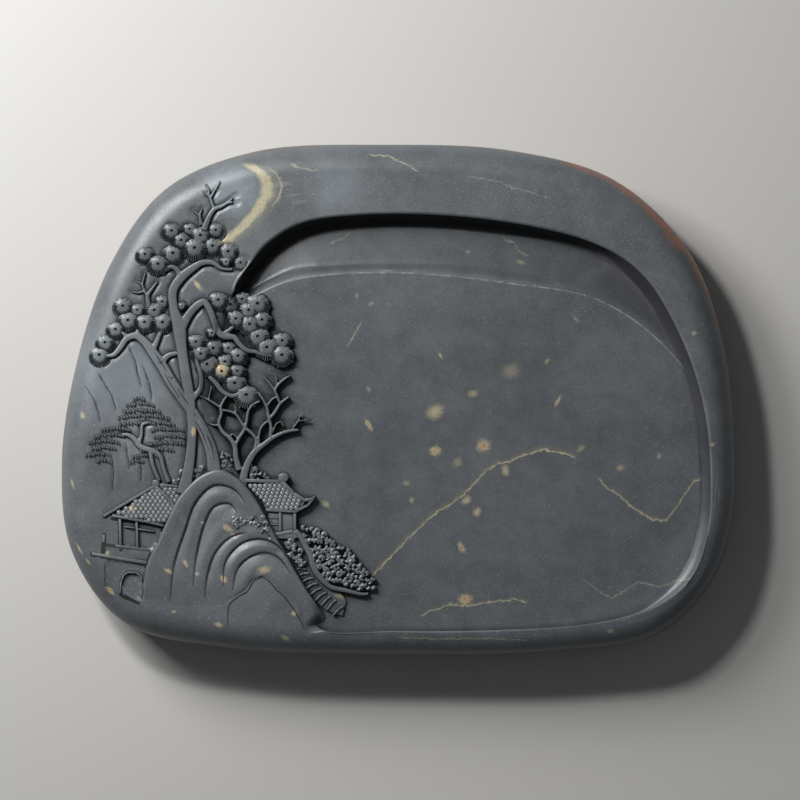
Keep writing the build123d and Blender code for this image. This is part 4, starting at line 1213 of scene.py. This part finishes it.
# veins: (points, half width, halo, strength); each crosses the stone from left to right
veins = [
    ([(-12, -69.5), (-4, -61), (4, -53), (10, -47), (16, -42), (20, -40), (26, -35.5), (30, -31), (34, -27),
      (38, -24.5),
      (41, -24), (50, -20.5), (55, -19), (60, -19.5), (68, -22)], 0.34, 2.6, 1.0),
    ([(76, -29.5), (80, -34), (84, -36), (88, -40), (93, -43.5), (98, -46), (103, -46), (106, -42), (110, -36),
      (113, -31.5), (117, -29.5)], 0.4, 2.0, 0.8),
    ([(8, -83), (19, -78.5), (26, -79), (35, -77.5), (45, -76.5), (50, -77.5)], 0.34, 1.4, 0.75),
    ([(70, -68), (76, -73), (82, -76), (92, -70), (100, -71.5), (112, -68)], 0.26, 0.8, 0.4),
    ([(0, -91), (18, -91.6), (35, -91.4), (50, -92)], 0.22, 0.7, 0.45),
    ([(38.4, 65.6), (41, 61.8), (44.4, 60.6), (46, 57.4), (50.6, 55.4)], 0.34, 0.8, 0.6),
    ([(-27.6, 59.8), (-24, 61.6), (-21.4, 62.2), (-18, 65)], 0.3, 0.6, 0.6),
    ([(-12, 94.2), (-4, 93.4), (1, 91.2), (8, 87.4)], 0.3, 0.6, 0.7),
    ([(26, 86), (36, 84), (46, 80.6), (58, 77)], 0.22, 0.6, 0.35),
    ([(-42, 90.5), (-36, 88.4), (-30, 87.6)], 0.3, 0.6, 0.5),
    ([(-20.6, 19.4), (-17.6, 24), (-16, 27.4), (-13.6, 30.4)], 0.55, 1.2, 0.55),
]


def curveGap(tree, across, along, points):  # the distance across to a run of (along, across) points
    xs = [p[0] for p in points]
    ys = [p[1] for p in points]
    lowA, highA, lowV, highV = xs[0], xs[-1], min(ys) - 2, max(ys) + 2
    inputs = {"Value": along, "From Min": lowA * mm, "From Max": highA * mm}
    shareAlong = addNode(tree, "ShaderNodeMapRange", inputs).outputs["Result"]
    curve = addNode(tree, "ShaderNodeFloatCurve", {"Value": shareAlong})
    line = curve.mapping.curves[0]
    made = [((px - lowA) / (highA - lowA), (py - lowV) / (highV - lowV)) for px, py in points]
    line.points[0].location = made[0]
    line.points[1].location = made[-1]
    for at in made[1:-1]:
        line.points.new(*at)
    for point in line.points:
        point.handle_type = "VECTOR"
    curve.mapping.update()
    inputs = {"Value": curve.outputs[0], "To Min": lowV * mm, "To Max": highV * mm}
    height = addNode(tree, "ShaderNodeMapRange", inputs).outputs["Result"]
    return lowA, highA, mathNode(tree, "SUBTRACT", across, height)


def curveMask(tree, across, along, points, half, halo, wobble):
    lowA, highA, gap = curveGap(tree, plus(tree, across, wobble), along, points)
    here = times(tree, ranged(tree, along, (lowA - 0.5) * mm, (lowA + 2) * mm),
                 ranged(tree, along, (highA + 0.5) * mm, (highA - 2) * mm))
    core = times(tree, ranged(tree, mathNode(tree, "ABSOLUTE", gap), half * 1.5 * mm, half * 0.4 * mm), here)
    return core, times(tree, ranged(tree, gap, halo * mm, 0.0), ranged(tree, gap, -halo * 0.35 * mm, 0.0), here)


def polarGap(tree, x, y, loops):  # turn about the heart, 1 mm for each degree, and how far past each loop a point lies
    awayX = mathNode(tree, "SUBTRACT", x, stone["heart"][0] * mm)
    awayY = mathNode(tree, "SUBTRACT", y, stone["heart"][1] * mm)
    turn = times(tree, mathNode(tree, "ARCTAN2", awayY, awayX), 180 / math.pi * mm)
    reach = mathNode(tree, "SQRT", plus(tree, times(tree, awayX, awayX), times(tree, awayY, awayY)))
    gaps = []
    for loop, low, high in loops:
        angles = np.linspace(low, high, 34)
        gaps.append(curveGap(tree, reach, turn, list(zip(angles.tolist(), polarRadius(loop, angles).tolist())))[2])
    return turn, gaps


def greyStone(tree, at, cloud, grain):
    clouds = plus(tree, times(tree, noise(tree, at, 42, 4, 0.6), 0.6), times(tree, cloud, 0.4))
    colour = mixColour(tree, ranged(tree, clouds, 0.3, 0.7), linear(look["dark"]), linear(look["light"]))
    colour = paint(tree, colour, ranged(tree, grain, 0.35, 0.7, 0.0, 0.22), "grain")
    return paint(tree, colour, ranged(tree, noise(tree, at, 0.45, 2, 0.6), 0.62, 0.72, 0.0, 0.6), "speck")


def paleMarksAndSheen(tree, colour, at, wobble):  # pale hazes and a painted sheen, the cream band by the pines, and the veins
    x, y, _ = addNode(tree, "ShaderNodeSeparateXYZ", {"Vector": at}).outputs
    for spotX, spotY, reach, middle, strength in hazesAndSheen:
        spot = {0: at, 1: (spotX * mm, spotY * mm, 31 * mm)}
        away = addNode(tree, "ShaderNodeVectorMath", spot, operation="DISTANCE").outputs["Value"]
        away = plus(tree, away, times(tree, wobble, 3))
        colour = paint(tree, colour, times(tree, ranged(tree, away, reach * mm, middle * mm), strength), "hazeAndHighlight")
    core, glow = curveMask(tree, x, y, look["creamBand"], 2.3, 7.5, wobble)
    fibres = ranged(tree, noise(tree, at, 0.8, 3, 0.8), 0.3, 0.6, 0.55, 1.0)
    colour = paint(tree, colour, times(tree, largest(tree, core, times(tree, glow, 0.35)), fibres, 0.8), "cream")
    core, _ = curveMask(tree, x, y, look["creamThread"], 0.45, 1.6, wobble)
    colour = paint(tree, colour, times(tree, core, 0.35), "cream")
    broken = ranged(tree, noise(tree, at, 2.2, 3, 0.7), 0.32, 0.5, 0.25, 1.0)
    for points, half, halo, strength in veins:
        core, glow = curveMask(tree, y, x, points, half, halo, wobble)
        colour = paint(tree, colour, times(tree, glow, broken, 0.33 * strength), "veinHalo")
        colour = paint(tree, colour, times(tree, core, broken, 0.62 * strength), "vein")
    return colour


def fleckMarks(tree, colour, at, z):
    ragged = unevenness(tree, at, 1.2, 4, 0.75, 1.6)
    spots, hearts = [], []
    for spotX, spotY, long, short, turn, strength in flecks:
        inputs = {"Vector": at, "Location": (spotX * mm, spotY * mm, 0), "Rotation": (0, 0, math.radians(turn)),
                  "Scale": (long * mm, short * mm, 1)}
        placed = addNode(tree, "ShaderNodeMapping", inputs, vector_type="TEXTURE").outputs[0]
        flat = addNode(tree, "ShaderNodeVectorMath", {0: placed, 1: (1, 1, 0)}, operation="MULTIPLY").outputs[0]
        away = addNode(tree, "ShaderNodeVectorMath", {0: flat}, operation="LENGTH").outputs["Value"]
        away = plus(tree, away, ragged)
        spots.append(ranged(tree, away, 1.35, 0.1, 0.0, strength))
        if strength > 0.78:  # the strongest have a rusty middle
            hearts.append(ranged(tree, away, 0.45, 0.1, 0.0, 1.0))
    upper = ranged(tree, z, 18 * mm, 20.5 * mm)
    colour = paint(tree, colour, times(tree, largest(tree, *spots), upper, 0.88), "fleck")
    return paint(tree, colour, times(tree, largest(tree, *hearts), upper, 0.7), "rustAndRedHighlight")


def ironSkinAndRedHighlight(tree, colour, at, x, y, z, towardsRim):  # iron-stained skin low on the sides; at the far upper right it climbs higher and turns rust red, a painted reddish highlight on the edge
    farRight = plus(tree, x, y)
    redHighlightClimb = ranged(tree, farRight, 148 * mm, 166 * mm, 0.0, 3.6 * mm)
    lowZ = plus(tree, mathNode(tree, "SUBTRACT", z, redHighlightClimb), unevenness(tree, at, 17, 3, 0.6, 9 * mm))
    zones = largest(tree, ranged(tree, noise(tree, at, 46, 2, 0.5), 0.44, 0.56, 0.12, 1.0),
                    ranged(tree, redHighlightClimb, 0.0, 1.0 * mm))
    mask = times(tree, ranged(tree, lowZ, 24.6 * mm, 21 * mm), ranged(tree, towardsRim, 0.74, 0.86), zones,
                 ranged(tree, noise(tree, at, 5, 5, 0.75), 0.36, 0.64, 0.2, 0.85))
    tone = paint(tree, linear(look["skin"]), ranged(tree, farRight, 146 * mm, 166 * mm), "rustAndRedHighlight")
    return mixColour(tree, mask, colour, tone)


def inkAndCornerShade(tree, colour, x, y, wobble):  # the graver's lines in the cliff, inked, and painted shade in every corner from ambient occlusion, partly standing for ink left there
    for line in cliffLines:
        core, _ = curveMask(tree, x, y, sorted((py, px) for px, py in line), 0.24, 0.8, times(tree, wobble, 0.5))
        colour = paint(tree, colour, times(tree, core, 0.85), "inkAndShadeDark")
    # painted shade: ambient occlusion darkens corners, creases and the foot of the pool's far wall
    for reach, low, high, strength in look["inkAndCornerShade"]:
        shade = addNode(tree, "ShaderNodeAmbientOcclusion", {"Distance": reach * mm}, samples=8).outputs["AO"]
        colour = paint(tree, colour, ranged(tree, shade, low, high, 0.0, strength), "inkAndShadeDark")
    return colour


def wellShadeAndHighlight(tree, colour, at, x, y, z, towardsRim):
    plateau = curveThrough(plateauPoints, steps=12)
    turn, (gap, pastEdge) = polarGap(tree, x, y, [(wellLoop, -60, 156), (plateau, 11, 146)])

    def part(value, low, high, toLow=0.0, toHigh=1.0):  # limits in mm, or in degrees for a turn
        return ranged(tree, value, low * mm, high * mm, toLow, toHigh)

    # painted shadow, black, under the far lip
    belowRim = part(z, 29.95, 29.5)
    wide = times(tree, part(turn, 50, 78, 2.4 * mm, 4.8 * mm), part(turn, 152, 136, 0.5, 1.0))
    lipShadow = times(tree, part(plus(tree, gap, wide), -0.35, 0.25), belowRim,
                  times(tree, part(turn, 44, 56), part(turn, 156, 150)), part(gap, 1.2, 0.4), 0.93)
    colour = paint(tree, colour, lipShadow, "ink")
    # painted shade and a painted dark reflection, purplish, down the right wall
    rightWallShade = times(tree, part(gap, -4.8, -3.6), belowRim, times(tree, part(turn, 58, 44), part(turn, -38, -8)),
                  part(gap, 1.2, 0.4), 0.8)
    colour = paint(tree, colour, rightWallShade, "paintedPoolShade")
    # the well is a little darker; painted shade darkens the slope, the valley at its foot and the pool's floor
    wellDarker = times(tree, part(z, 27.8, 26.9), ranged(tree, towardsRim, 0.86, 0.74), 0.13)
    colour = paint(tree, colour, wellDarker, "inkAndShadeDark")
    inPool = times(tree, belowRim, part(gap, 0.5, -0.5))
    # painted shade on the slope down into the pool and in the valley at its foot
    ramp = times(tree, part(pastEdge, -1.5, 4.5), times(tree, part(turn, 57, 46), part(turn, 8, 17)))
    valley = times(tree, times(tree, part(pastEdge, 0.6, 2.6), part(pastEdge, 5.4, 3.2)),
                   times(tree, part(turn, 48, 60), part(turn, 146, 132)))
    ramp = times(tree, largest(tree, ramp, times(tree, valley, 0.7)), inPool, 0.5)
    colour = paint(tree, colour, ramp, "paintedPoolShade")
    # painted shade on the pool's floor, which rises towards the light
    poolFloorShade = times(tree, times(tree, part(pastEdge, 2.5, 6), part(turn, 46, 54)), inPool, 0.3)
    colour = paint(tree, colour, poolFloorShade, "inkAndShadeDark")
    # a pale painted highlight along the plateau's edge
    edgeHighlight = times(tree, part(mathNode(tree, "ABSOLUTE", pastEdge), 0.42, 0.12),
                     times(tree, part(turn, 12, 18), part(turn, 146, 136)))
    edgeHighlight = times(tree, edgeHighlight, ranged(tree, noise(tree, at, 3.5, 3, 0.7), 0.4, 0.6, 0.12, 0.62))
    return paint(tree, colour, times(tree, edgeHighlight, inPool), "hazeAndHighlight")


def slateMaterial():
    # slate rubbed smooth with ever finer stones: a cloudy, fine-grained grey with a satin sheen; over it lie painted
    # shade, painted highlights and a painted sheen
    material, tree, shader, at = newMaterial("slate_rubbed_smooth")
    x, y, z = addNode(tree, "ShaderNodeSeparateXYZ", {"Vector": at}).outputs
    cloud, grain = noise(tree, at, 9, 5, 0.65), noise(tree, at, 0.9, 3, 0.7)
    wobble = unevenness(tree, at, 2.6, 3, 0.7, 3.2 * mm)
    far = [mathNode(tree, "POWER", mathNode(tree, "ABSOLUTE", mathNode(tree, "DIVIDE", value, size * mm)), 2.6)
           for value, size in ((x, 130), (y, 98.5))]
    towardsRim = plus(tree, *far)
    colour = greyStone(tree, at, cloud, grain)
    colour = paleMarksAndSheen(tree, colour, at, wobble)
    colour = fleckMarks(tree, colour, at, z)
    colour = ironSkinAndRedHighlight(tree, colour, at, x, y, z, towardsRim)
    colour = inkAndCornerShade(tree, colour, x, y, wobble)
    colour = wellShadeAndHighlight(tree, colour, at, x, y, z, towardsRim)
    # sharp edges are lighter: partly wear, partly a painted highlight
    edges = addNode(tree, "ShaderNodeNewGeometry").outputs["Pointiness"]
    colour = paint(tree, colour, times(tree, ranged(tree, edges, 0.52, 0.62), 0.22), "edgeWearAndHighlight")
    tree.links.new(colour, shader.inputs["Base Color"])
    rubbed = plus(tree, times(tree, cloud, 0.5), times(tree, grain, 0.5))
    tree.links.new(ranged(tree, rubbed, 0.3, 0.7, *look["roughness"]), shader.inputs["Roughness"])
    fine = bump(tree, 0.34, 0.05, noise(tree, at, 0.55, 4, 0.7))
    tree.links.new(bump(tree, 0.25, 0.12, noise(tree, at, 4.0, 4, 0.6), Normal=fine), shader.inputs["Normal"])
    return material


def inkAndShadowMaterial():
    # ink dried matt in the graver's cuts, and painted shadow at the foot of the carving: uneven black with duller,
    # browner dust, so the outlines look drawn by hand
    material, tree, shader, at = newMaterial("ink_and_shadow_matt")
    dust, crust = noise(tree, at, 2.4, 4, 0.7), noise(tree, at, 0.5, 3, 0.6)
    colour = paint(tree, linear(look["inkAndShadeDark"]), ranged(tree, dust, 0.4, 0.7, 0.0, 0.8), "inkDust")
    colour = paint(tree, colour, ranged(tree, crust, 0.45, 0.7, 0.0, 0.6), "ink")
    tree.links.new(colour, shader.inputs["Base Color"])
    tree.links.new(ranged(tree, crust, 0.3, 0.7, 0.45, 0.75), shader.inputs["Roughness"])
    tree.links.new(bump(tree, 0.3, 0.05, crust), shader.inputs["Normal"])
    return material


# build everything
slate = slateMaterial()
body = slabBody()
print("slab", len(body.data.polygons))
bareStrokes = [[(x, y, half * branches["bareThinner"]) for x, y, half in stroke] for stroke in bareTree]
pieces = [
    body,
    strokesPiece("tall_pine", tallPine, lift=0.1),
    strokesPiece("left_pine", leftPine),
    strokesPiece("bare_tree", bareStrokes, lift=0.1, voxel=0.24),
    strokesPiece("pine_twigs", pineTwigs, lift=-0.05, voxel=0.17),
    strokesPiece("old_pine_trunk", oldPine, lift=-0.05),
    strokesPiece("path_walls", pathWalls, lift=-0.5),
]
print("trees", [len(piece.data.polygons) for piece in pieces])
fanPieces = [needleFan(number, *fan) for number, fan in enumerate(needleFans)]
pieces.append(finishPiece(joinAll(fanPieces), "pine_needle_fans", angle=35))
print("fans")
pieces.append(sprayPiece())
for shrubName, (area, lift) in shrubAreas.items():
    pieces.append(shrubPiece(shrubName, area, lift))
print("shrubs")
pieces += [rockPiece(), leftHouse(), rightHouse(), pathPiece()]
print("rock, houses and path")
inkAndShadowCuts = cutsPiece()
pieces.append(inkAndShadowCuts)
print("cuts")

for piece in pieces:
    piece.data.materials.clear()
    piece.data.materials.append(inkAndShadowMaterial() if piece is inkAndShadowCuts else slate)
    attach(piece, "root")
    if piece is body:
        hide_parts("inkstone")
    print(piece.name, len(piece.data.polygons))

# floor, light and camera
setting = {
    "floor": "#bbb9b5",
    "key": {"place": (-0.32, 0.425, 0.63), "watts": 3.15, "size": 0.094},
    "side": {"place": (-0.46, 0.4, 0.425), "watts": 5.7, "size": 0.29},
    "world": 0.105,
    "lens": 150.0,
    "height": 1.275,
}
deselect()
bpy.ops.mesh.primitive_plane_add(size=6, location=(0, 0, -0.0002))
floor = bpy.context.object
floor.name = "floor"
# plain matt paper: a soft shadow and no reflection, so the stone alone draws the eye
paper = bpy.data.materials.new("floor_paper")
paper.use_nodes = True
paperShader = paper.node_tree.nodes["Principled BSDF"]
paperShader.inputs["Base Color"].default_value = linear(setting["floor"])
paperShader.inputs["Roughness"].default_value = 0.9
floor.data.materials.append(paper)


def areaLight(name, place, watts, size, target=(0, 0, 0.02)):
    bpy.ops.object.light_add(type="AREA", location=place)
    light = bpy.context.object
    light.name = name
    light.data.energy = watts
    light.data.size = size
    light.rotation_euler = (Vector(target) - Vector(place)).to_track_quat("-Z", "Y").to_euler()
    return light


areaLight("key", **setting["key"])
areaLight("side", **setting["side"])

world = bpy.data.worlds.new("studio")
world.use_nodes = True
world.node_tree.nodes["Background"].inputs["Color"].default_value = (0.9, 0.95, 1.0, 1.0)
world.node_tree.nodes["Background"].inputs["Strength"].default_value = setting["world"]
bpy.context.scene.world = world

bpy.ops.object.camera_add(location=(0.0005, 0, setting["height"] + stone["rimTop"] * mm), rotation=(0, 0, 0))
camera = bpy.context.object
camera.data.lens = setting["lens"]
bpy.context.scene.camera = camera
bpy.context.scene.view_settings.view_transform = "Standard"
